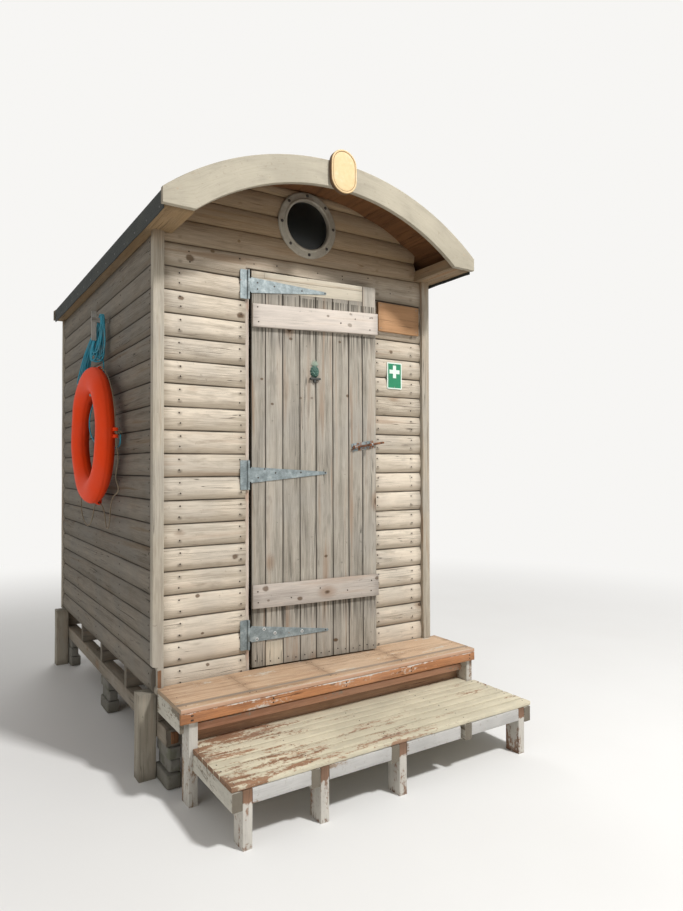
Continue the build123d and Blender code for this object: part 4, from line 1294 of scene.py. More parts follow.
def between(left, right):
    """Limits of boards that all end at the same places."""
    return lambda height: (np.full(height.shape, left), np.full(height.shape, right))


roof_box = box("roof_boards")
barge_box = box("barge_left")
ROOF_HALF = (box("barge_right")[1, 0] - barge_box[0, 0]) / 2
ROOF_TOP = barge_box[1, 2]
ROOF_RISE = 0.322
ARCH_RADIUS = (ROOF_HALF**2 + ROOF_RISE**2) / (2 * ROOF_RISE)
ARCH_CENTRE = ROOF_TOP - ARCH_RADIUS
UNDER_RADIUS = ARCH_RADIUS - 0.023
PLATE_INNER = 0.745


def tilt(height):
    """Slope of the front boards at a height: the ones over the door aren't quite level."""
    return np.interp(height, (2.417, 2.551, 2.664, 2.772, 2.884), (0.0, 0.0243, 0.0178, 0.010, 0.0))


def front_sloped(along, depth, height):
    return front_place(along, depth, height + tilt(height) * along)


def under_roof(half, side=None, hole=None, slope=None):
    """Limits of gable boards: within the wall below the eaves, between the plates above them, and
    under the arch. side is -1 or 1 for the part of a board beside the round hole, and slope gives
    the slope of the boards at a height."""

    def reach(height):
        arch = np.sqrt(np.maximum(UNDER_RADIUS**2 - (height - ARCH_CENTRE) ** 2, 0.02**2)) - 0.001
        straight = np.where(height <= WALL_HEAD + 1e-4, half, np.minimum(arch, PLATE_INNER))
        return np.minimum(straight, arch)

    def limits(height):
        left = right = reach(height)
        if slope:
            left = reach(height - slope(height) * left)
            right = reach(height + slope(height) * right)
        if side is None:
            return -left, right
        centre, radius = hole
        gap = np.sqrt(np.maximum(radius**2 - (height - centre) ** 2, 0.0))
        return (-left, -gap) if side < 0 else (gap, right)

    return limits


def make_walls():
    """Boards the walls in rounded courses, with a lining inside."""
    look = settings()
    wall_timber = wooden(
        "wall", look.wall_light[:], look.wall_dark[:], sheltered=(2.40, 2.66), foot=0.44, greyed=0.35,
        knots=0.65, edge=(0.75, 0.85), contrast=1.15, nailed=[MIDDLE + n / 1000 for n in WALL_NAILS],
        spots=[
            (MIDDLE + a / 1000, b / 1000, size / 1000, 0.8)
            for a, b, size in (
                (-614, 833, 12), (-563, 493, 11), (-389, 2225, 22), (-656, 2468, 24), (-538, 2524, 13),
                (564, 2127, 15), (-700, 2268, 16), (-590, 650, 9), (-399, 2599, 10), (-420, 1008, 20)
            )
        ]
    )
    # The side and back boards take a darker copy of the front's colours: painted shade, as on a wall turned
    # from the light, along with greyer weathering.
    shaded_side_timber = wooden(
        "side", times(0.38, look.wall_light), times(0.34, look.wall_dark), grey=(0.17, 0.16, 0.14),
        brown=(0.13, 0.085, 0.045), foot=0.50, greyed=0.5, edge=(0.5, 0.7), contrast=0.8
    )
    lining = wooden("lining", (0.48, 0.33, 0.18), (0.27, 0.16, 0.075), greyed=0.05, lines=0.8)
    face = loglap(look)
    trim_inner = 0.786
    foot = WALL_FOOT * 1000
    head = WALL_HEAD * 1000

    hole = (box("porthole_rim").mean(0)[2], 0.150)
    doorway_left = box("front_wall_left")[1, 0] - MIDDLE
    doorway_right = box("front_wall_right")[0, 0] - MIDDLE
    door_top = box("front_gable")[0, 2]
    hole_heights = hole[0] + hole[1] * np.cos(np.radians(np.arange(0, 181, 9)))
    left_rows = rows_between(np.append(np.arange(foot, 2410, 112), 2417))
    right_rows = rows_between([foot, *np.linspace(532, 2417, 18)])

    front = Boards(1)
    for rows, limits in (
        (left_rows, between(-trim_inner, doorway_left)), (right_rows, between(doorway_right, trim_inner)),
    ):
        # Lower rows get a higher tint, which lightens them: painted light standing for light thrown up from
        # the landing, along with the bleaching of the lower boards.
        faded = np.clip(
            np.linspace(1.15, 0.45, len(rows)) + front.random.uniform(-0.4, 0.4, len(rows)), 0, 1.3
        )
        front.courses(rows, limits, front_place, face, tint=faded)
    joints = rows_between([2417, 2551, 2664, 2772, 2884, 2937])
    low, high = joints[0]
    head_foot = box("door_head")[0, 2]
    share = (head_foot - low) / (high - low)
    for limits, section, ends in (
        (between(-trim_inner, doorway_left), face, (True, False)),
        (between(doorway_left, doorway_right), with_shares(face, (), share), (False, False)),
        (between(doorway_right, trim_inner), face, (False, True)),
    ):
        front.courses([(low, high)], limits, front_sloped, section, 0.42, wave=0.0, shift=3.1, ends=ends)
    for row, (low, high) in enumerate(joints[1:]):
        eaves = [WALL_HEAD + turn * tilt(2.57) * trim_inner + d for turn in (-1, 1) for d in (0.0, 0.0006)]
        section = with_shares(face, (np.array([*eaves, *hole_heights]) - low) / (high - low))
        crosses = abs((low + high) / 2 - hole[0]) < 0.19
        for side in ((-1, 1) if crosses else (None,)):
            front.courses(
                [(low, high)], under_roof(trim_inner, side, hole, tilt), front_sloped, section,
                (0.5, 0.35, 0.6, 0.45)[row], wave=0.0, shift=5.3 + 1.7 * row, ends=(side != 1, side != -1),
            )
    front.piece(
        "front_boards", wall_timber, ("front_wall_left", "front_wall_right", "front_gable"), "wall_timber"
    )

    side_rows = rows_between(np.append(np.arange(402, 2520, 112.4), head))
    for name, place, node in (
        ("left_boards", left_place, "left_wall"), ("right_boards", right_place, "right_wall")
    ):
        side = Boards(2 if name == "left_boards" else 3)
        span = box(node)[:, 1] - FACE
        rows = side_rows.copy()
        rows[0, 0] = WALL_FOOT
        side.courses(rows, between(*span), place, face)
        side.piece(name, shaded_side_timber, (node,), "wall_timber")

    back = Boards(4)
    back_rows = rows_between([*np.append(np.arange(foot, 2500, 112), head), 2650, 2763, 2868, 2937])
    back.courses(back_rows, under_roof(trim_inner), back_place, face)
    back.piece("back_boards", shaded_side_timber, ("back_wall",), "wall_timber")

    inner = Boards(5)
    inner_half = -(box("left_wall")[1, 0] - MIDDLE)
    rows = rows_between([*np.arange(foot, head, 120), head])
    depth = BACK - FACE
    tall = rows_between([*np.arange(foot, head, 120), head, 2690, 2810, 2936])
    low = rows_between([*np.arange(foot, door_top * 1000 - 40, 120), door_top * 1000])
    for some, limits, place in (
        (rows, between(WALL, depth - WALL), left_place), (rows, between(WALL, depth - WALL), right_place),
        (tall, under_roof(inner_half), back_place), (low, between(-inner_half, doorway_left), front_place),
        (low, between(doorway_right, inner_half), front_place),
    ):
        inner.courses(some, limits, place, LINING_SECTION, wave=0.0003)
    for low, high in rows_between([door_top * 1000, head, 2690, 2810, 2936]):
        crosses = abs((low + high) / 2 - hole[0]) < 0.19
        section = with_shares(LINING_SECTION, (hole_heights - low) / (high - low))
        for side in ((-1, 1) if crosses else (None,)):
            inner.courses([(low, high)], under_roof(inner_half, side, hole), front_place, section, wave=0.0)
    plate, stud, clear = 0.045, 0.058, 0.06

    def front_plate(left, right, level):
        return (left, FACE + BOARD, level), (right, FACE + stud, level + plate)

    for level in (WALL_FOOT, WALL_HEAD - plate):
        inner.timbers(
            [
                ((LEFT + BOARD, FACE + BOARD, level), (LEFT + stud, BACK - BOARD, level + plate)),
                ((RIGHT - stud, FACE + BOARD, level), (RIGHT - BOARD, BACK - BOARD, level + plate)),
                ((LEFT + clear, BACK - stud, level), (RIGHT - clear, BACK - BOARD, level + plate)),
            ],
            wave=0.0,
        )
    inner.timbers(
        [
            front_plate(LEFT + clear, MIDDLE + doorway_left, WALL_FOOT),
            front_plate(MIDDLE + doorway_right, RIGHT - clear, WALL_FOOT),
            front_plate(LEFT + clear, RIGHT - clear, door_top),
        ],
        wave=0.0,
    )
    inner.piece("lining_boards", lining)

    def nail_heights(rows, shares):
        return [low + share * (high - low) for low, high in rows for share in shares]

    nails = []
    for rows, ends in ((left_rows, WALL_NAILS[:2]), (right_rows, WALL_NAILS[2:])):
        for end in ends:
            for z in nail_heights(rows, (0.30, 0.77)):
                nails.append(hut(end + 4 * math.sin(91 * z), 1.5, 1000 * z + 3 * math.sin(57 * z)))
    for x, z in (
        (-399, 2604), (-661, 2500), (-656, 2450), (-394, 2511), (-316, 2496), (-184, 2508), (65, 2510),
        (225, 2519), (226, 2500), (402, 2536), (560, 2470), (700, 2500),
    ):
        nails.append(hut(x, 1.2, z))
    front_nails = heads(nails, (0, -1, 0), look.nail_size / 2, 0.0012)
    nails = [
        hut(-834.6, y + 8 * math.sin(77 * z + y), 1000 * z) for low_high in side_rows
        for y in (60, 600, 1140, 1660, 2190) for z in nail_heights([low_high], (0.3, 0.72))
    ]
    left_nails = heads(nails, (-1, 0, 0), look.nail_size / 2, 0.0012)
    mirrored = [(2 * MIDDLE - x, y, z) for x, y, z in np.array(nails)]
    right_nails = heads(mirrored, (1, 0, 0), look.nail_size / 2, 0.0012)
    head_piece("wall_nails", [front_nails, left_nails, right_nails], nail_steel())


def make_roof():
    """Makes the roof boards, the felt, the arched end boards and the eaves plates."""
    roof_timber = wooden(
        "roof", (0.19, 0.085, 0.032), (0.07, 0.028, 0.010), brown=(0.12, 0.045, 0.015), greyed=0.0
    )
    roof = roof_box - (MIDDLE, FACE, 0)
    front, rear = roof[0, 1], roof[1, 1]
    deck_radius = ARCH_RADIUS - 0.005
    eave = roof[1, 0]

    def over(along, depth, arc):
        turn = arc / deck_radius
        radius = deck_radius - depth
        return xyz(MIDDLE + radius * np.sin(turn), FACE + along, ARCH_CENTRE + radius * np.cos(turn))

    reach = deck_radius * math.asin(eave / deck_radius)
    steps = np.linspace(-reach, reach, 18)
    section = np.array(
        [(0, 0), (0.5, 0), (1, 0), (1, 0.016), (0.98, 0.018), (0.5, 0.018), (0.02, 0.018), (0, 0.016)]
    )
    planks = Boards(10)
    planks.courses(np.stack([steps[:-1], steps[1:]], 1), between(front, rear), over, section, wave=0.0)
    planks.piece("roof_planks", roof_timber, ("roof_boards",), "roof_timber")

    felt = Boards(11)
    felt_edge = eave + 0.005
    turn_edge = math.asin(felt_edge / ARCH_RADIUS)
    lip_foot = box("roof_felt")[0, 2]
    turn_height = ARCH_CENTRE + ARCH_RADIUS * math.cos(turn_edge)
    angle = np.linspace(-turn_edge, turn_edge, 90)
    lap = np.abs(angle) < 0.37
    outer = ARCH_RADIUS - np.where(lap, 0.0, 0.0026)
    arc = np.stack([outer * np.sin(angle), ARCH_CENTRE + outer * np.cos(angle)], 1)
    lip = np.linspace(lip_foot, turn_height - 0.012, 7)
    left = np.stack([np.full(7, -felt_edge), lip], 1)
    right = np.stack([np.full(7, felt_edge), lip[::-1]], 1)
    top = np.concatenate([left, arc, right])
    inner = ARCH_RADIUS - 0.005
    arc = np.stack([inner * np.sin(angle[::-1]), ARCH_CENTRE + inner * np.cos(angle)], 1)
    under = np.concatenate(
        [right[::-1] - (0.0045, 0), np.clip(arc, (-eave, 0), (eave, 9)), left[::-1] + (0.0045, 0)]
    )
    profile = np.concatenate([top, under])
    rings = 60
    along = np.linspace(front, rear, rings)
    hang = np.clip((turn_height - profile[:, 1]) / (turn_height - lip_foot), 0, 1)
    wave = smooth_noise(felt.random, (1, 2), along[:, None])
    side = (profile[:, 0] > 0).astype(int)
    swing = (0.5 + 0.5 * wave[:, side]) * hang[None]
    points = np.empty((1, rings, len(profile), 3))
    points[0, ..., 0] = MIDDLE + profile[None, :, 0] - np.sign(profile[None, :, 0]) * 0.0006 * swing
    points[0, ..., 1] = FACE + along[:, None]
    points[0, ..., 2] = profile[None, :, 1] + 0.005 * swing * (hang[None] > 0.9)
    felt.loft(points, along[None] - front, lengths_round(profile), 0.5, profile[None], 0.5)
    felt.piece("felt_sheets", finish("roof_felt", felted), ("roof_felt",), "roof_felt", sharp=30)
    y = np.arange(front + 0.05, rear - 0.03, 0.19)
    z = lip_foot + 0.028 + 0.004 * np.sin(31 * y)
    groups = [
        heads(xyz(MIDDLE + side * felt_edge, FACE + y, z), (side, 0, 0), 0.005, 0.0012) for side in (-1, 1)
    ]
    head_piece("felt_nails", groups, finish("clout_steel", plain, (0.13, 0.13, 0.125), 0.6, 0.3, 0.4))

    pale = wooden(
        "end_board", (0.46, 0.39, 0.29), (0.24, 0.185, 0.13), greyed=0.2,
        paint=(0.44, 0.395, 0.305), worn=0.14, knots=0.3,
    )
    bare = wooden("back_end", (0.30, 0.26, 0.20), (0.12, 0.10, 0.075), greyed=0.5)
    board_height, seat_width, chamfer = 0.130, 0.146, 0.003
    crown_inner = ROOF_TOP - board_height
    seat = ROOF_HALF - seat_width
    rise = crown_inner - WALL_HEAD
    inner_radius = (seat**2 + rise**2) / (2 * rise)
    ends = {
        "end_board_left": ("barge_left", -1, 0.0006), "end_board_right": ("barge_right", 1, 0.0006),
        "end_board_back": ("back_barge", 0, 0.0)
    }
    for name, (node, side, gap) in ends.items():
        low, high = box(node)[:, 1]
        x = np.concatenate([np.linspace(ROOF_HALF, seat, 9), np.linspace(seat, gap, 46)[1:]])
        x = side * x if side else np.concatenate([-x, x[-2::-1]])
        outer_z = ARCH_CENTRE + np.sqrt(ARCH_RADIUS**2 - x**2)
        inner_z = np.where(
            np.abs(x) >= seat - 1e-6, WALL_HEAD,
            crown_inner - inner_radius + np.sqrt(np.maximum(inner_radius**2 - x**2, 0)),
        )
        cut = chamfer
        share = np.array([0, 0.33, 0.66, 1, 1, 1, 1, 0.66, 0.33, 0, 0, 0])
        shift = np.array([cut, 0, 0, -cut, 0, 0, -cut, 0, 0, cut, 0, 0])
        depth = np.array([0, 0, 0, 0, cut, -cut, 0, 0, 0, 0, -cut, cut])
        rear_side = np.array([0, 0, 0, 0, 0, 1, 1, 1, 1, 1, 1, 0])
        z = inner_z[:, None] + share * (outer_z - inner_z)[:, None] + shift
        y = np.where(rear_side, high, low) + depth
        points = xyz(MIDDLE + x[:, None], y[None], z)[None]
        ahead = np.concatenate([[0], np.cumsum(np.hypot(np.diff(x), np.diff(outer_z)))])
        board = Boards(12)
        section = np.stack([share * 0.1, rear_side * 0.02], 1)
        board.loft(
            points, ahead[None], closed(share * 0.13 + rear_side * 0.2), closed(share), section[None], 0.6
        )
        board.piece(name, pale if side else bare, (node,), "trim_timber", sharp=30)

    plates = Boards(13)
    inner, outer, foot, top = PLATE_INNER, eave, WALL_HEAD, WALL_HEAD + 0.06
    turn_x = math.sqrt(UNDER_RADIUS**2 - (top - ARCH_CENTRE) ** 2)
    shoulder = ARCH_CENTRE + math.sqrt(UNDER_RADIUS**2 - outer**2)
    outline = np.array([(inner, foot), (outer, foot), (outer, shoulder), (turn_x, top), (inner, top)])
    for side in (-1, 1):
        plates.prism(
            outline * (side, 1), lambda along, a, b: xyz(MIDDLE + a, FACE + along, b),
            front + 0.0004, rear - 0.0004,
        )
    plate_timber = wooden("plate", (0.34, 0.235, 0.125), (0.15, 0.095, 0.05), greyed=0.15, knots=0.3)
    plates.piece("eaves_timbers", plate_timber, ("eaves_plates",), "roof_timber")


def make_porthole():
    """Makes the porthole with its glass and bolts, and the oval badge."""
    rim_box = box("porthole_rim")
    centre = np.array([MIDDLE, FACE, rim_box[:, 2].mean()])
    sight, edge = 0.129, rim_box[1, 0] - MIDDLE
    profile = np.array(
        [
            (sight, WALL), (sight, 0.004), (sight, -0.010), (sight + 0.002, -0.0135),
            (sight + 0.006, -0.0158), (sight + 0.011, -0.0158), (sight + 0.0145, -0.0135),
            (sight + 0.016, -0.011), (edge - 0.010, -0.0095), (edge - 0.004, -0.0085),
            (edge - 0.001, -0.0055), (edge, -0.001), (edge, 0.0), (edge - 0.012, 0.0002),
            (sight + 0.005, 0.0002), (sight + 0.005, WALL),
        ]
    )
    metal = finish("porthole_casting", cast, (0.43, 0.39, 0.315), (0.15, 0.12, 0.085))
    rim = Parts()
    rim.lathe(centre, (0, 1, 0), profile, 96, closed=True)
    rim.piece("porthole_casting", metal, ("porthole_rim",), "porthole_metal")
    bolts = Parts()
    for turn in np.radians(np.arange(8) * 45 + 2):
        place = centre + 0.1585 * np.array([math.cos(turn), 0, math.sin(turn)])
        bolts.lathe(
            place, (0, -1, 0),
            [(0.0085, 0.006), (0.0085, 0.0105), (0.007, 0.0128), (0.0045, 0.0140), (0.0012, 0.0143)], 14,
        )
    bolts.piece("porthole_bolts", finish("dark_bolts", plain, (0.055, 0.045, 0.038), 0.6, 0.3, 0.4, 90))
    pane = Parts()
    pane.lathe(
        centre, (0, 1, 0),
        [(0.002, 0.010), (0.05, 0.0098), (0.1285, 0.010), (0.1285, 0.018), (0.002, 0.018)], 72
    )
    pane.piece("porthole_pane", finish("dark_glass", dark_glass), ("porthole_glass",), "glass")

    plate = Parts()
    low, high = box("badge")
    middle = (low + high) / 2
    half = (high - low) / 2
    shift = half[2] - half[0]
    turn = full_turn(96)
    rows = []
    for inwards, out in (
        (0.0, 0.0), (0.0, 0.0195), (0.0012, 0.0225), (0.0035, 0.024), (0.0075, 0.0240), (0.0092, 0.0228),
        (0.0100, 0.0212), (0.0118, 0.0212), (0.0126, 0.0226), (0.0150, 0.0233), (0.030, 0.0236),
        (0.05, 0.0238), (0.066, 0.0238)
    ):
        radius = half[0] - inwards
        a = radius * np.cos(turn)
        b = radius * np.sin(turn) + shift * np.clip(4 * np.sin(turn), -1, 1)
        rows.append(xyz(middle[0] + a, high[1] - out, middle[2] + b))
    plate.grid(np.array(rows))
    plate.piece("oval_badge", finish("badge_gold", badge_gold), ("badge",), "badge_plate")


PIN = hut(-350, -7.5, 0)
AJAR = math.radians(5)
DOOR_EDGE = 0.019
DOOR_WIDTHS = np.array([75, 97, 98, 94, 102, 98, 88, 87]) / 1000
DOOR_FOOT, DOOR_TOP = 0.440, 2.462
DOOR_FACE, DOOR_BACK = 0.0075, 0.0275
HINGES = (("top", 2.385, 1.0), ("middle", 1.415, 1.0), ("bottom", 0.609, -3.5))


def door_space(points):
    """Turns places given from the hinge pin (along the door, into the room, height) into the world."""
    x, y, z = np.moveaxis(np.asarray(points, float), -1, 0)
    return xyz(
        PIN[0] + x * math.cos(AJAR) + y * math.sin(AJAR), PIN[1] - x * math.sin(AJAR) + y * math.cos(AJAR),
        z
    )


OUT_OF_DOOR = door_space((0, -1, 0)) - door_space((0, 0, 0))


def wall_out(a, b, out):
    """Places on the front wall, given along it, by height and by the distance out from it."""
    return xyz(a, FACE - out, b)


def door_out(a, b, out):
    """The same on the door."""
    return door_space(xyz(a, DOOR_FACE - out, b))


def door_lean(lift):
    """The same, with each height moved by lift(along, height)."""

    def place(points):
        points = np.array(points, float)
        points[..., 2] += lift(points[..., 0], points[..., 2])
        return door_space(points)

    return place


def door_spots(*spots):
    """Knots of the door from their place along it, height, size and depth, in millimetres."""
    return [
        (PIN[0] + a * math.cos(AJAR) / 1000, b / 1000, size / 1000, depth) for a, b, size, depth in spots
    ]


def make_door():
    """Makes the door's boards and ledges, and the frame round it."""
    look = settings()
    door_timber = wooden(
        "door", look.door_light[:], look.door_dark[:], greyed=0.4, lines=1.5, knots=0.3, foot=0.50,
        edge=(0, 0.7), drips=(2.352, 2.182, 0.737),
        spots=door_spots(
            (133, 1782, 9, 0.8), (75, 1908, 9, 0.8), (238, 2129, 10, 0.8), (529, 2138, 10, 0.8),
            (500, 519, 15, 0.9), (441, 976, 11, 0.8), (578, 1845, 11, 0.8), (295, 1820, 9, 0.5),
            (359, 1823, 9, 0.5)
        )
    )
    pale_light = look.pale_light[:]
    pale = wooden(
        "pale", pale_light, times(0.52, pale_light), greyed=0.15, lines=0.9, knots=0.2,
        brown=(0.38, 0.29, 0.20), contrast=0.8,
        spots=door_spots(
            (445, 2268, 9, 0.7), (579, 2232, 15, 0.6), (585, 2292, 10, 0.6), (721, 2286, 8, 0.7),
            (524, 2238, 6, 0.6)
        )
    )
    creamy = wooden(
        "top", (0.60, 0.54, 0.43), (0.42, 0.37, 0.29), greyed=0.15, lines=0.5, knots=0.2, contrast=0.8
    )
    greyer = wooden(
        "ledge", times(0.80, pale_light), times(0.36, pale_light), greyed=0.3, lines=0.7, knots=0.2,
        spots=door_spots((86, 836, 20, 0.75), (276, 768, 16, 0.8), (747, 836, 14, 0.7), (100, 775, 9, 0.6))
    )
    let_in_lean = door_lean(
        lambda a, z: (0.008 + 0.0276 * (a - DOOR_EDGE)) * np.interp(z, (2.25, 2.35, DOOR_TOP), (0, 1, 0))
    )
    boards = Boards(20)
    starts = DOOR_EDGE + np.concatenate([[0], np.cumsum(DOOR_WIDTHS)])
    let_in = DOOR_TOP - 0.112
    patch_top = 0.560
    gap = 0.0008
    full, back_strips = [], []
    for i, (left, right) in enumerate(zip(starts, starts[1:])):
        left, right = left + gap * (i > 0), right - gap * (i < 7)
        top = DOOR_TOP if i == 7 else let_in
        foot = patch_top + 0.001 if i == 1 else DOOR_FOOT
        full.append(((left, DOOR_FACE, foot), (right, DOOR_BACK, top)))
        if i < 7:
            back_strips.append(((left, DOOR_FACE + 0.0142, let_in), (right, DOOR_BACK, DOOR_TOP)))
    boards.timbers(full, radius=0.003, tint=(0.35, 0.75, 0.45, 0.6, 0.4, 0.62, 0.42, 0.7))
    boards.timbers(back_strips, radius=0.001, wave=0.0003)
    tongues = [((s - 0.006, 0.015, DOOR_FOOT + 0.001), (s + 0.006, 0.020, let_in)) for s in starts[1:-1]]
    boards.timbers(tongues, radius=0.0005, wave=0.0, tint=0.1)
    boards.piece("door_planks", door_timber, ("door_boards",), "door_timber", "door", place=let_in_lean)

    top_board = Boards(21)
    seam = 0.089
    split = let_in + 0.074
    top_board.timbers(
        [
            ((DOOR_EDGE, DOOR_FACE, let_in), (starts[7] - 0.001, DOOR_FACE + 0.014, split - 0.0002)),
            ((DOOR_EDGE, DOOR_FACE, split), (seam - 0.0006, DOOR_FACE + 0.014, DOOR_TOP)),
            ((seam + 0.0006, DOOR_FACE, split), (starts[7] - 0.001, DOOR_FACE + 0.014, DOOR_TOP)),
        ],
        run=0, wave=0.0004, radius=0.001, tint=(0.5, 0.55, 0.52),
    )
    top_board.timbers(
        [((starts[1] + gap, DOOR_FACE, DOOR_FOOT), (starts[2] - gap, DOOR_BACK, patch_top))], run=2,
        tint=0.9
    )
    top_board.piece("door_top_plank", creamy, ("door_top_board",), "pale_timber", "door", place=let_in_lean)

    for name, node, level, wood, slot in (
        ("upper_ledge", "door_upper_ledge", 2.240, pale, "pale_timber"),
        ("lower_ledge", "door_lower_ledge", 0.797, greyer, "door_timber"),
    ):
        ledge = Boards(22 + (level > 1))
        ledge.timbers(
            [((DOOR_EDGE, DOOR_FACE - 0.022, level - 0.06), (starts[-1], DOOR_FACE, level + 0.06))],
            radius=0.0035, tint=0.6,
        )
        rise = 0.0325 if level > 1 else 0.0
        ledge.piece(name, wood, (node,), slot, "door", place=door_lean(lambda a, z: rise * (a - 0.327)))

    nails = []
    for i, (left, right) in enumerate(zip(starts, starts[1:])):
        for share in (0.27, 0.74):
            a = left + share * (right - left)
            nails.append((a, DOOR_FACE - 0.0004, 0.466 + 0.006 * math.sin(40 * a)))
    for a, b in (
        (44, 2272), (49, 2197), (708, 2284), (707, 2217), (613, 2268), (523, 2237), (44, 825), (46, 769),
        (712, 826), (709, 770), (395, 812), (228, 778), (560, 786)
    ):
        nails.append((a / 1000, DOOR_FACE - 0.0224, b / 1000))
    head_piece("door_nails", [heads(door_space(nails), OUT_OF_DOOR, 0.0036, 0.0010)], nail_steel(), "door")

    jamb_timber = wooden(
        "jamb", (0.66, 0.57, 0.49), (0.30, 0.24, 0.185), greyed=0.3, lines=0.7,
        knots=0.15, rust=tuple((PIN[0] - 0.001, h - 0.085) for _, h, _ in HINGES), foot=0.49,
    )
    sawn(24, "door_frame_sides", "door_jambs", jamb_timber, "door_timber", radius=0.0015, wave=0.0004)
    sawn(25, "door_frame_head", "door_head", jamb_timber, "door_timber", radius=0.0015, wave=0.0004)


def make_knocker():
    """A pineapple in half relief on a shelf. Its body is an ellipsoid whose radius rises and
    falls with two families of spirals; its leaves are tapered blades that bend outwards."""
    middle, level = 0.3745, 1.965
    body = Parts()
    rows, columns = 64, 96
    rise = np.linspace(-1, 1, rows)[:, None] * 0.985
    turn = full_turn(columns)[None]
    swell = np.sqrt(1 - np.abs(rise) ** 2.4)
    studs = np.abs(np.sin(4.5 * turn + 5.2 * rise)) * np.abs(np.sin(4.5 * turn - 5.2 * rise))
    radius = 0.0262 * swell * (0.80 + 0.20 * studs**0.6)
    body.grid(door_out(middle + radius * np.cos(turn), level + 0.031 * rise, -0.56 * radius * np.sin(turn)))
    for lean, length, out in (
        (-48, 0.030, 0.4), (-30, 0.036, 0.7), (-14, 0.041, 0.5), (2, 0.043, 1.0), (17, 0.040, 0.6),
        (33, 0.035, 0.8), (50, 0.029, 0.4), (-8, 0.030, 1.5), (12, 0.028, 1.6),
    ):
        t = np.linspace(0, 1, 9)[:, None]
        ring = full_turn(8)[None]
        angle = math.radians(lean) * (0.45 + 0.75 * t)
        wide = 0.0052 * np.sin(math.pi * np.minimum(0.25 + 0.78 * t, 1.0)) + 0.0003
        x = middle + length * t * np.sin(angle) + wide * np.cos(ring) * np.cos(angle)
        z = level + 0.024 + length * t * np.cos(angle) - wide * np.cos(ring) * np.sin(angle)
        y = DOOR_FACE - 0.0035 - 0.0045 * out * t**0.8 - 0.0014 * np.sin(ring) * (1 - 0.7 * t)
        body.grid(door_space(xyz(x, y, z)))
    shelf = rounded(
        [(middle - 0.030, level - 0.045), (middle + 0.030, level - 0.045),
         (middle + 0.030, level - 0.033), (middle - 0.030, level - 0.033)], 0.003)
    body.plate(shelf, door_out, ((0, 0), (0, 0.0145), (0.0015, 0.016)))
    body.lathe(
        (middle - 0.002, DOOR_FACE - 0.006, level - 0.052), (0, -1, 0),
        [(0.007, -0.006), (0.009, 0.001), (0.007, 0.0055), (0.002, 0.0075)], 18, place=door_space,
    )
    body.piece(
        "pineapple_knocker", finish("knocker_paint", knocker_paint), ("knocker",), "knocker_metal", "door",
        sharp=35
    )


def make_signs():
    """The bare wooden plaque and the green plate with a pale edge and cross."""
    wood = wooden(
        "plaque", (0.52, 0.30, 0.155), (0.33, 0.175, 0.085), brown=(0.26, 0.13, 0.06),
        greyed=0.03, lines=0.8, knots=0.1, contrast=0.8,
    )
    plaque = Boards(30)
    plaque.timbers([box("name_plaque")], radius=0.004, wave=0.0005, tint=0.5)
    plaque.piece("bare_plaque", wood, ("name_plaque",), "plaque")
    low, high = box("name_plaque")
    screws = [
        (x, low[1] + 0.0006, z)
        for x in (low[0] + 0.018, high[0] - 0.018) for z in (low[2] + 0.018, high[2] - 0.018)
    ]
    low, high = box("safety_sign")
    screws += [((low[0] + high[0]) / 2, low[1] + 0.0004, z) for z in (low[2] + 0.011, high[2] - 0.011)]
    steel = finish("sign_screws", plain, (0.32, 0.29, 0.25), 0.4, 0.2, 0.8, 90.0)
    head_piece("sign_screw_heads", [heads(screws, (0, -1, 0), 0.0035, 0.0014, 12, 0.3)], steel)
    sign = Parts()
    corners = [(low[0], low[2]), (high[0], low[2]), (high[0], high[2]), (low[0], high[2])]
    sign.plate(round_corners(corners, 0.008), wall_out, ((0, 0), (0, 0.0034), (0.0006, 0.004)))
    sign.piece(
        "green_sign", finish("sign_print", sign_print, (low + high) / 2, (high - low) / 2),
        ("safety_sign",), "sign_plastic",
    )


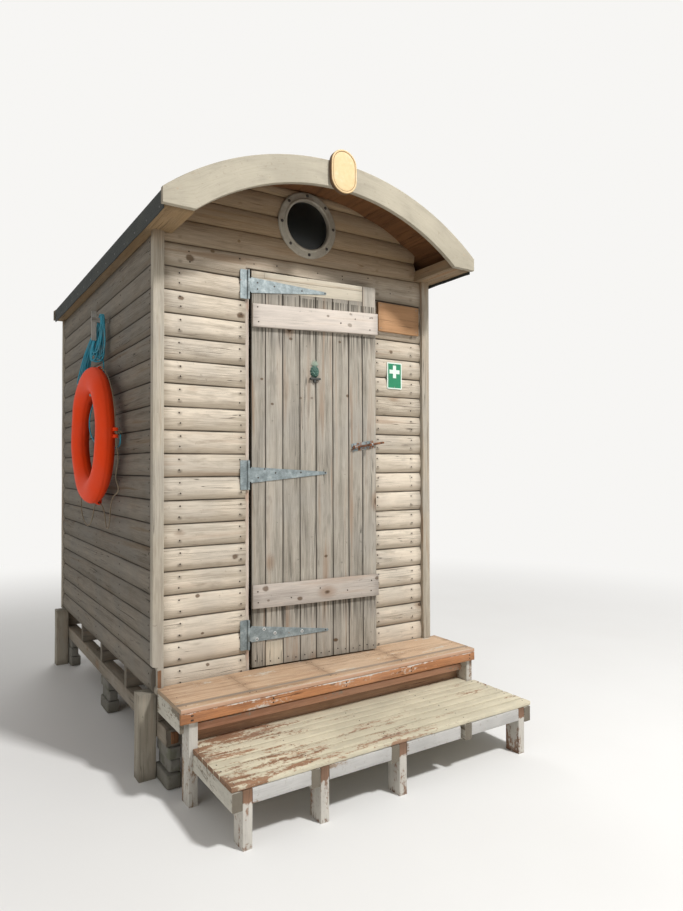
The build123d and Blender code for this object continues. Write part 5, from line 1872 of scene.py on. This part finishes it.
def make_fittings():
    """Makes the tee hinges, the sliding bolt, the knocker and the two signs."""
    zinc = finish("galvanised", galvanised)
    screw_steel = finish("screw_steel", plain, (0.075, 0.065, 0.055), 0.55, 0.3, 0.6, 120.0)
    pin, up, iron = (PIN[0], PIN[1], 0), (0, 0, 1), ((0, 0), (0, 0.0029), (0.0006, 0.0035))
    wall_screws, door_screws = [], []
    screws = {
        "top": ((50, -17), (50, 16), (143, 8), (300, 4), (437, 8)),
        "middle": ((89, 30), (53, -14), (148, 10), (292, 11), (436, 9)),
        "bottom": ((46, -27), (84, 19), (144, -8), (297, -16), (436, -26)),
    }
    for name, level, tilt in HINGES:
        plate = Parts()
        x0, x1 = PIN[0] - 0.044, PIN[0] - 0.0015
        outline = rounded(
            [(x0, level - 0.075), (x1, level - 0.075), (x1, level + 0.075), (x0, level + 0.075)], 0.004
        )
        plate.plate(outline, wall_out, iron)
        for low, high in ((level - 0.075, level - 0.0352), (level + 0.0352, level + 0.075)):
            plate.lathe(
                pin, up, [(0.0058, low), (0.0065, low + 0.0008), (0.0065, high - 0.0008), (0.0058, high)],
                28
            )
        plate.lathe(pin, up, [(0.0030, level - 0.036), (0.0030, level + 0.036)], 20)
        plate.piece(f"hinge_leaf_{name}", zinc, (f"hinge_plate_{name}",), "galvanised")
        for a, b in ((-32, 44), (-20, 20), (-31, -13), (-17, -55)):
            wall_screws.append((PIN[0] + a / 1000, FACE - 0.0032, level + b / 1000))

        strap = Parts()
        turn = math.radians(tilt)
        half_neck, half_root, half_tip = 0.0345, 0.0405, 0.0068
        reach = (0.455 if name == "bottom" else 0.446) - half_tip
        tip = np.array([reach * math.cos(turn), level + reach * math.sin(turn)])
        low, high = level - half_neck, level + half_neck
        nose = [
            tip + half_tip * np.array([math.cos(a), math.sin(a)])
            for a in np.radians(np.linspace(-80, 80, 9))
        ]
        outline = [
            (0.0045, low), (0.0135, low), (0.0155, level - half_root), *nose, (0.0155, level + half_root),
            (0.0135, high), (0.0045, high),
        ]
        strap.plate(np.array(outline), door_out, iron)
        edge = [(0.0065, low + 0.0008), (0.0065, high - 0.0008)]
        strap.lathe(
            pin, up, [(0.0036, low), (0.0060, low), *edge, (0.0060, high), (0.0036, high)], 28, closed=True
        )
        strap.piece(f"hinge_strap_{name}_steel", zinc, (f"hinge_strap_{name}",), "galvanised", "door")
        for a, b in screws[name]:
            door_screws.append((a / 1000, DOOR_FACE - 0.0032, level + b / 1000))
    head_piece("hinge_screws_wall", [heads(wall_screws, (0, -1, 0), 0.0042, 0.0016, 12, 0.3)], zinc)
    head_piece(
        "hinge_screws_door", [heads(door_space(door_screws), OUT_OF_DOOR, 0.0046, 0.0018, 12, 0.3)],
        screw_steel, "door",
    )

    rims = [(a / 1000, DOOR_FACE - 0.0034, HINGES[2][1] + b / 1000) for a, b in screws["bottom"][:4]]
    bright = finish("bright_zinc", plain, (0.62, 0.63, 0.62), 0.45, 0.1, 0.3, 90.0)
    head_piece(
        "hinge_screw_rims", [heads(door_space(rims), OUT_OF_DOOR, 0.0082, 0.0010, 16)], bright, "door"
    )

    rust = finish("rusty_steel", rusted)
    tilt = math.radians(9)
    start = DOOR_EDGE + DOOR_WIDTHS.sum() - 0.158

    def bolt_space(points):
        a, b, out = np.moveaxis(np.asarray(points, float), -1, 0)
        along = start + a * math.cos(tilt) - b * math.sin(tilt)
        return door_out(along, 1.560 + a * math.sin(tilt) + b * math.cos(tilt), out)

    def bolt_out(a, b, out):
        return bolt_space(xyz(a, b, out))

    base = Parts()
    outline = rounded([(0, -0.022), (0.14, -0.022), (0.14, 0.022), (0, 0.022)], 0.004)
    base.plate(outline, bolt_out, ((0, 0), (0, 0.0022), (0.0006, 0.0028)))
    lift, bore, wall = 0.012, 0.0068, 0.0028
    angle = np.radians(np.linspace(-8, 188, 22))
    for middle in (0.019, 0.121):
        ring = [(middle + dx, s * math.cos(t), lift + s * math.sin(t)) for t in angle for dx, s in
                ((-0.007, bore), (0.007, bore), (0.007, bore + wall), (-0.007, bore + wall))]
        ring = np.array(ring).reshape(len(angle), 4, 3)
        feet = ring[[0, -1]].copy()
        feet[..., 2] = 0.001
        ring = np.concatenate([feet[:1], ring, feet[1:]])
        base.grid(bolt_space(ring))
        for side in (-1, 1):
            foot = rounded(
                [(middle - 0.007, side * 0.008), (middle + 0.007, side * 0.008),
                 (middle + 0.007, side * 0.020), (middle - 0.007, side * 0.020)], 0.001)
            base.plate(foot, bolt_out, ((0, 0.0026), (0.0003, 0.0046)))
    base.piece(
        "bolt_plate", finish("bolt_plate_steel", galvanised, 0.75), ("bolt_base",), "rusty_steel", "door"
    )
    screws = [bolt_space((a, b, 0.0024)) for a in (0.045, 0.095) for b in (-0.014, 0.014)]
    head_piece("bolt_screws", [heads(screws, OUT_OF_DOOR, 0.0038, 0.0016, 12, 0.3)], rust, "door")

    bar = Parts()
    bar.lathe(
        (0, 0, lift), (1, 0, 0),
        [(0.0048, 0.0), (0.0060, 0.0012), (0.0060, 0.199), (0.0052, 0.203), (0.0035, 0.205)], 24,
        place=bolt_space,
    )
    bar.lathe(
        (0.100, 0, lift), (0, 0, 1),
        [(0.0042, -0.002), (0.0042, 0.020), (0.0048, 0.024), (0.0082, 0.027), (0.0092, 0.0305),
         (0.0075, 0.0335), (0.003, 0.0340)], 20, place=bolt_space,
    )
    bar.piece("bolt_rod", rust, ("bolt_bar",), "rusty_steel", "bolt")

    make_knocker()
    make_signs()


def make_steps():
    """Makes the landing and the lower step with their posts, bearers and legs."""
    look = settings()
    tan = wooden(
        "landing", (0.66, 0.48, 0.325), (0.36, 0.215, 0.125), greyed=0.15, lines=0.7,
        knots=0.3, contrast=1.1, paint=(0.64, 0.58, 0.48), worn=0.86,
        bands=(
            (FACE - 0.290, FACE - 0.268, 1.0, (0.17, 0.15, 0.125), 0.75),
            (FACE - 0.35, FACE - 0.333, 0.4265, (0.46, 0.20, 0.085), 1.0),
            (FACE - 0.35, FACE - 0.331, 1.0, (0.62, 0.55, 0.47), 0.35),
        ),
    )
    dark_side = wooden(
        "side_board", (0.30, 0.26, 0.20), (0.13, 0.105, 0.075), greyed=0.3,
        paint=(0.58, 0.55, 0.47), worn=0.40,
    )
    rail_wood = wooden("rail", (0.20, 0.17, 0.13), (0.08, 0.065, 0.048), grey=(0.15, 0.14, 0.12))
    orange = wooden(
        "landing_edge", (0.64, 0.29, 0.125), (0.28, 0.125, 0.06), greyed=0.12, lines=0.8,
        brown=(0.20, 0.10, 0.05), contrast=1.3, paint=(0.66, 0.61, 0.54), worn=0.84, kept_edge=0.10,
        spots=((MIDDLE - 0.055, 0.412, 0.022, 0.75),),
    )
    post_wood = wooden(
        "post", (0.36, 0.25, 0.17), (0.16, 0.10, 0.06), brown=(0.17, 0.08, 0.04), greyed=0.2,
        paint=(0.62, 0.59, 0.53), worn=0.36, foot=0.08,
    )
    leg_wood = wooden(
        "leg", (0.30, 0.175, 0.11), (0.14, 0.075, 0.045), brown=(0.17, 0.07, 0.035), greyed=0.1,
        paint=(0.64, 0.605, 0.54), worn=0.40, foot=0.06, worn_top=0.185,
    )
    cream = wooden(
        "step", (0.38, 0.22, 0.13), (0.18, 0.095, 0.055), brown=(0.2, 0.09, 0.045),
        greyed=0.25, lines=0.8, knots=0.4, paint=look.deck_paint[:], worn=0.24,
        worn_places=(
            (MIDDLE - 0.70, FACE - 0.72, 0.20, 0.11), (MIDDLE - 0.62, FACE - 0.33, 0.50, 0.10),
            (MIDDLE - 0.45, FACE - 0.62, 0.35, 0.07), (MIDDLE + 0.10, FACE - 0.70, 0.30, 0.06),
        ),
    )
    pale_edge = wooden(
        "step_edge", (0.38, 0.28, 0.20), (0.18, 0.12, 0.08), greyed=0.3,
        paint=(0.54, 0.525, 0.50), worn=0.22,
    )
    dark = wooden(
        "riser", (0.55, 0.34, 0.215), (0.22, 0.125, 0.075), brown=(0.2, 0.10, 0.055), greyed=0.1, lines=0.8
    )
    # The riser strip's colours are raised well above its wood's own: painted light, standing for sun that
    # strikes the strip under the landing's edge.
    painted_light_rail = wooden(
        "riser_rail", (0.85, 0.50, 0.34), (0.52, 0.26, 0.16), brown=(0.4, 0.19, 0.11),
        greyed=0.1, paint=(0.56, 0.51, 0.43), worn=0.9,
    )

    low, high = box("landing_boards")
    top = Boards(40)
    nosing = 0.048
    seams = [low[0], *(MIDDLE + np.array([-0.464, -0.03, 0.41])), high[0]]
    trim = box("corner_trims")
    notch = 0.0565
    notch_y = FACE - 0.0195
    panels = []
    for i, (left, right) in enumerate(zip(seams, seams[1:])):
        panels.append(
            ((left, low[1] + nosing + 0.0015, low[2]), (right - 0.0015 * (i < 3), notch_y, high[2]))
        )
        inner_left = max(left, trim[0, 0] + notch)
        inner_right = min(right, trim[1, 0] - notch)
        panels.append(((inner_left, notch_y - 0.0012, low[2]), (inner_right, FACE - 0.0004, high[2])))
    panels.append(((trim[1, 0] + 0.0012, notch_y - 0.0012, low[2]), (high[0], FACE - 0.0004, high[2])))
    top.timbers(
        panels, run=0, radius=0.0015, wave=0.0003, tint=(0.2, 0.2, 0.4, 0.4, 0.6, 0.6, 0.8, 0.8, 0.8)
    )
    top.timbers(
        [((low[0], low[1], low[2]), (high[0], low[1] + nosing, high[2]))], run=0, radius=0.003,
        wave=0.0006, tint=0.4,
    )
    top.piece("landing_planks", tan, ("landing_boards",), "landing_timber")

    for name, node, wood, slot, seed in (
        ("landing_edge", "landing_fascia", orange, "landing_timber", 41),
        ("landing_side_board", "landing_side", dark_side, "landing_timber", 42),
        ("landing_post_timbers", "landing_posts", post_wood, "landing_timber", 43),
        ("landing_wall_rail", "landing_rail", rail_wood, "frame_timber", 44),
        ("riser_plank", "riser_board", dark, "landing_timber", 45),
        ("riser_strip", "riser_rail", painted_light_rail, "landing_timber", 46),
        ("step_bearer_timbers", "step_bearers", dark_side, "landing_timber", 47),
        ("step_leg_timbers", "step_legs", leg_wood, "step_timber", 48),
        ("step_edge_boards", "step_fascias", pale_edge, "step_timber", 49),
        ("step_back_rail", "step_rail", rail_wood, "frame_timber", 50),
    ):
        sawn(seed, name, node, wood, slot, radius=0.0028, wave=0.0007)

    deck = Boards(51)
    low, high = box("step_deck")
    posts = solids("landing_posts")
    inner = (posts[:, 1, 0].min(), posts[:, 0, 0].max())
    edges = np.array([-735, -673, -612, -551, -490, -430, -371, -320]) / 1000 + FACE
    rows = [
        ((low[0], a + 0.0018, low[2]), (high[0], b - 0.0018, high[2])) for a, b in zip(edges, edges[1:])
    ]
    rows.append(((inner[0] + 0.0005, edges[-1] + 0.0012, low[2]), (inner[1] - 0.0005, high[1], high[2])))
    deck.timbers(rows, run=0, radius=0.0035, wave=0.0011)
    deck.piece("step_planks", cream, ("step_deck",), "step_timber")

    nails = []
    for bearer in solids("step_bearers"):
        x = bearer[:, 0].mean()
        for a, b in zip(edges, [*edges[1:], high[1]]):
            nails.append((x + 0.008 * math.sin(50 * a), (a + b) / 2, high[2] - 0.0006))
    landing = box("landing_boards")
    for x in (-780, -480, -448, -45, -15, 395, 425, 860):
        for y in (-300, -180, -60):
            nails.append(hut(x, y, 1000 * landing[1, 2] - 0.5))
    edge = [hut(x, -340.4, z) for x in (-770, -764, -380, 20, 430, 850) for z in (378, 397)]
    head_piece(
        "step_nails", [heads(nails, (0, 0, 1), 0.0028, 0.0010), heads(edge, (0, -1, 0), 0.0036, 0.0012)],
        nail_steel()
    )


def make_ground_frame():
    """Makes the corner trims, the floor and the timbers and stones under the hut."""
    trim_wood = wooden(
        "trim", (0.56, 0.505, 0.41), (0.26, 0.22, 0.17), greyed=0.4, lines=0.8,
        knots=0.25, foot=0.44, sheltered=(2.45, 2.62),
    )
    ground_wood = wooden("ground", (0.30, 0.26, 0.205), (0.12, 0.095, 0.07), greyed=0.45, foot=0.14)
    post_wood = wooden("corner_post", (0.40, 0.36, 0.29), (0.17, 0.145, 0.11), greyed=0.4, foot=0.10)
    sound, worn_board = [], None
    for part in solids("corner_trims"):
        if part[:, 0].mean() < MIDDLE and part[:, 1].mean() < FACE + 0.1:
            worn_board = part
        else:
            sound.append(part)
    trims = Boards(60)
    trims.timbers(sound, radius=0.003)
    low, high = worn_board
    rotten = [400, 404, 411, 420, 428, 434, 449, 471, 493, 508, 517, 523, 528, 531, 540]
    z = np.array([*rotten, *range(600, 2571, 82), 2570])
    lost = np.interp(
        z, [400, 411, 428, 430, 508, 517, 523, 528, 531, 532], [20, 17, 24, 27, 26, 22, 25, 14, 3, 0]
    )
    jag = 1.6 * np.sin(z * 1.7) * (lost > 1)
    section = rounded_section(high[0] - low[0] - 0.0008, high[1] - low[1] - 0.0008, 0.003)[0]
    share = (section[:, 0] / (high[0] - low[0])) + 0.5
    left = low[0] + 0.0004 + (lost + jag)[:, None] / 1000
    x = left + share[None] * (high[0] - 0.0004 - left)
    y = (low[1] + high[1]) / 2 + section[None, :, 1]
    points = xyz(x, y, z[:, None] / 1000)[None]
    trims.loft(points, (z / 1000 - 0.4)[None], lengths_round(section), closed(share), section[None], 0.45)
    trims.piece("corner_boards", trim_wood, ("corner_trims",), "trim_timber")
    sore = Boards(61)
    sore.timbers(
        [((low[0] + 0.026, low[1] - 0.0006, 0.431), (low[0] + 0.044, low[1] + 0.010, 0.512))], radius=0.002
    )
    sore.timbers(
        [(hut(x - 18, -130.5, 207), hut(x + 20, -112, 257)) for x in (-771, 771)], run=2, radius=0.006,
        wave=0.002
    )
    sore.piece(
        "rotten_wood",
        finish("rotten_wood", timber, (0.42, 0.20, 0.085), (0.13, 0.06, 0.028), greyed=0.1, contrast=1.4)
    )

    floor = Boards(62)
    low, high = box("floor")
    cuts = np.linspace(low[0], high[0], 13)
    rows = [((a + 0.0006, low[1], low[2]), (b - 0.0006, high[1], high[2])) for a, b in zip(cuts, cuts[1:])]
    floor.timbers(rows, run=1, radius=0.002, wave=0.0004)
    floor_wood = wooden("floor", (0.44, 0.32, 0.20), (0.24, 0.16, 0.09), greyed=0.15)
    floor.piece("floor_planks", floor_wood, ("floor",), "frame_timber")

    for seed, name, node, wood, shape in (
        (
            63, "ground_beam_timbers", "ground_beams", ground_wood,
            {"radius": 0.004, "wave": 0.0012, "broken": 0.020}
        ),
        (64, "joist_timbers", "floor_joists", ground_wood, {"radius": 0.003}),
        (65, "corner_post_timbers", "corner_posts", post_wood, {"run": 2, "radius": 0.005, "wave": 0.0014})
    ):
        sawn(seed, name, node, wood, "frame_timber", **shape)

    stones = Parts()
    for i, (low, high) in enumerate(solids("stone_blocks")):
        for j, (foot, head, inwards) in enumerate(((0, 0.36, 0), (0.36, 0.69, 0.009), (0.69, 1, 0.004))):
            aside = np.array([inwards * math.sin(2.1 * i + j), inwards * math.cos(1.3 * i + j), 0])
            foot_z, head_z = (low[2] + share * (high[2] - low[2]) for share in (foot, head))
            stones.stone(
                np.array([*(low + inwards + aside)[:2], foot_z]),
                np.array([*(high - inwards + aside)[:2], head_z]), 3 * i + j
            )
    stones.piece("rough_stones", finish("rough_stone", rough_stone), ("stone_blocks",), "stone")


def make_lifebuoy():
    """Makes the lifebuoy with its straps, its peg and the rope's hook."""
    look = settings()
    shell = finish("buoy_shell", buoy_shell, look.ring_colour[:])
    centre = hut(-836 - 90, BUOY_PLACE, BUOY_HEIGHT)
    ring_radius, half_wide, half_thick = 0.314, 0.075, 0.052
    turn = full_turn(220)[:, None]
    round_ = full_turn(56)[None]
    dent = 0.0012 * (
        np.sin(3 * turn + 1.0) * np.sin(2 * round_) + np.sin(7 * turn) * np.cos(round_ + 2)
    ) - 0.0016
    seam = -0.0016 * np.exp(-((np.sin(round_) / 0.045) ** 2))
    swell = 1 + (dent + seam) / half_thick
    radial = ring_radius + half_wide * np.cos(round_) * swell
    out = half_thick * np.sin(round_) * swell
    ring = Parts()
    ring.grid(centre + xyz(-out, -radial * np.cos(turn), radial * np.sin(turn)), loop=True)
    line_radius, back = ring_radius + half_wide - 0.008, 0.036
    bend = np.radians(np.linspace(-90, 90, 13))
    mid_radius, thick, edge, side = 0.0098, 0.0034, 0.0075, 0.0088
    strap = [(-thick, -edge), (-thick, edge), (-0.6 * thick, side), (0.6 * thick, side)]
    strap += [(-t, -w) for t, w in strap]
    path = [
        (line_radius + mid_radius * math.cos(b), mid_radius * math.sin(b), math.cos(b), math.sin(b))
        for b in bend
    ]
    path = [(line_radius - 0.040, -mid_radius, 0.0, -1), *path, (line_radius - 0.040, mid_radius, 0.0, 1)]
    axial = np.array([1.0, 0, 0])
    for angle in np.radians([0, 90, 180, 270]):
        outwards = np.array([0, math.cos(angle), math.sin(angle)])
        along = np.array([0, -math.sin(angle), math.cos(angle)])
        for middle in (-0.018, 0.018):
            rows = [
                [
                    centre + (r + t * nr) * outwards + (back + a + t * na) * axial + (middle + w) * along
                    for t, w in strap
                ]
                for r, a, nr, na in path
            ]
            ring.grid(np.array(rows))
    ring.piece("buoy_ring", shell, ("lifebuoy",), "lifebuoy_shell", sharp=50)

    zinc = finish("galvanised", galvanised)
    peg = Parts()
    low, high = box("ring_peg")
    peg.lathe(
        (low[0], (low[1] + high[1]) / 2, (low[2] + high[2]) / 2), (1, 0, 0),
        [
            (0.004, 0.0), (0.0075, 0.001), (0.009, 0.004), (0.009, 0.093), (0.0075, 0.096),
            (0.0075, high[0] - low[0])
        ],
        24
    )
    peg.piece("buoy_peg", zinc, ("ring_peg",), "galvanised")
    hook = Boards(70)
    low, high = box("rope_hook")
    hook.timbers(
        [
            ((low[0], FACE + 0.833, 2.286), (high[0], FACE + 0.857, 2.310)),
            (hut(-931, 838, 2180), hut(-904, 852, 2346)),
        ],
        radius=0.003, wave=0.0002,
    )
    hook_wood = wooden("hook", (0.50, 0.48, 0.44), (0.26, 0.245, 0.215), greyed=0.5, knots=0.05)
    hook.piece("rope_hook_bars", hook_wood, ("rope_hook",), "galvanised")


# Add-on


class HutStep:
    """Runs the function that an operator of the hut is for."""

    def execute(self, context):
        self.make()
        return {"FINISHED"}


class HUT_OT_stage(HutStep, bpy.types.Operator):
    """Sets the camera, the soft lights and the pale floor"""

    bl_idname = "hut.stage"
    bl_label = "Stage"
    make = staticmethod(make_stage)


class HUT_OT_ropes(HutStep, bpy.types.Operator):
    """Lays the rope over its hook and the grab line round the lifebuoy"""

    bl_idname = "hut.ropes"
    bl_label = "Ropes"
    make = staticmethod(make_ropes)


class HUT_OT_walls(HutStep, bpy.types.Operator):
    """Boards the walls in rounded courses, with a lining inside"""

    bl_idname = "hut.walls"
    bl_label = "Walls"
    make = staticmethod(make_walls)


class HUT_OT_roof(HutStep, bpy.types.Operator):
    """Makes the roof boards, the felt, the arched end boards and the eaves plates"""

    bl_idname = "hut.roof"
    bl_label = "Roof"
    make = staticmethod(make_roof)


class HUT_OT_porthole(HutStep, bpy.types.Operator):
    """Makes the porthole with its glass and bolts, and the oval badge"""

    bl_idname = "hut.porthole"
    bl_label = "Porthole and badge"
    make = staticmethod(make_porthole)


class HUT_OT_door(HutStep, bpy.types.Operator):
    """Makes the door's boards and ledges, and the frame round it"""

    bl_idname = "hut.door"
    bl_label = "Door"
    make = staticmethod(make_door)


class HUT_OT_fittings(HutStep, bpy.types.Operator):
    """Makes the tee hinges, the sliding bolt, the knocker and the two signs"""

    bl_idname = "hut.fittings"
    bl_label = "Door fittings and signs"
    make = staticmethod(make_fittings)


class HUT_OT_steps(HutStep, bpy.types.Operator):
    """Makes the landing and the lower step with their posts, bearers and legs"""

    bl_idname = "hut.steps"
    bl_label = "Landing and step"
    make = staticmethod(make_steps)


class HUT_OT_ground_frame(HutStep, bpy.types.Operator):
    """Makes the corner trims, the floor and the timbers and stones under the hut"""

    bl_idname = "hut.ground_frame"
    bl_label = "Trims and ground frame"
    make = staticmethod(make_ground_frame)


class HUT_OT_lifebuoy(HutStep, bpy.types.Operator):
    """Makes the lifebuoy with its straps, its peg and the rope's hook"""

    bl_idname = "hut.lifebuoy"
    bl_label = "Lifebuoy and hook"
    make = staticmethod(make_lifebuoy)


STEPS = (
    HUT_OT_stage, HUT_OT_ropes, HUT_OT_walls, HUT_OT_roof, HUT_OT_porthole, HUT_OT_door, HUT_OT_fittings,
    HUT_OT_steps, HUT_OT_ground_frame, HUT_OT_lifebuoy
)


class HUT_PT_panel(bpy.types.Panel):
    """Lists the hut's pieces and settings"""

    bl_idname = "HUT_PT_panel"
    bl_label = "Beach hut"
    bl_space_type = "VIEW_3D"
    bl_region_type = "UI"
    bl_category = "Beach hut"

    def draw(self, context):
        for name in HutSettings.__annotations__:
            self.layout.prop(context.scene.beach_hut, name)
        for step in STEPS:
            self.layout.operator(step.bl_idname)


CLASSES = (HutSettings, *STEPS, HUT_PT_panel)


def register():
    for made in CLASSES:
        bpy.utils.register_class(made)
    bpy.types.Scene.beach_hut = PointerProperty(type=HutSettings)


def unregister():
    del bpy.types.Scene.beach_hut
    for made in reversed(CLASSES):
        bpy.utils.unregister_class(made)


def main():
    register()
    for step in STEPS:
        getattr(bpy.ops.hut, step.bl_idname[4:])()


if __name__ == "__main__":
    main()
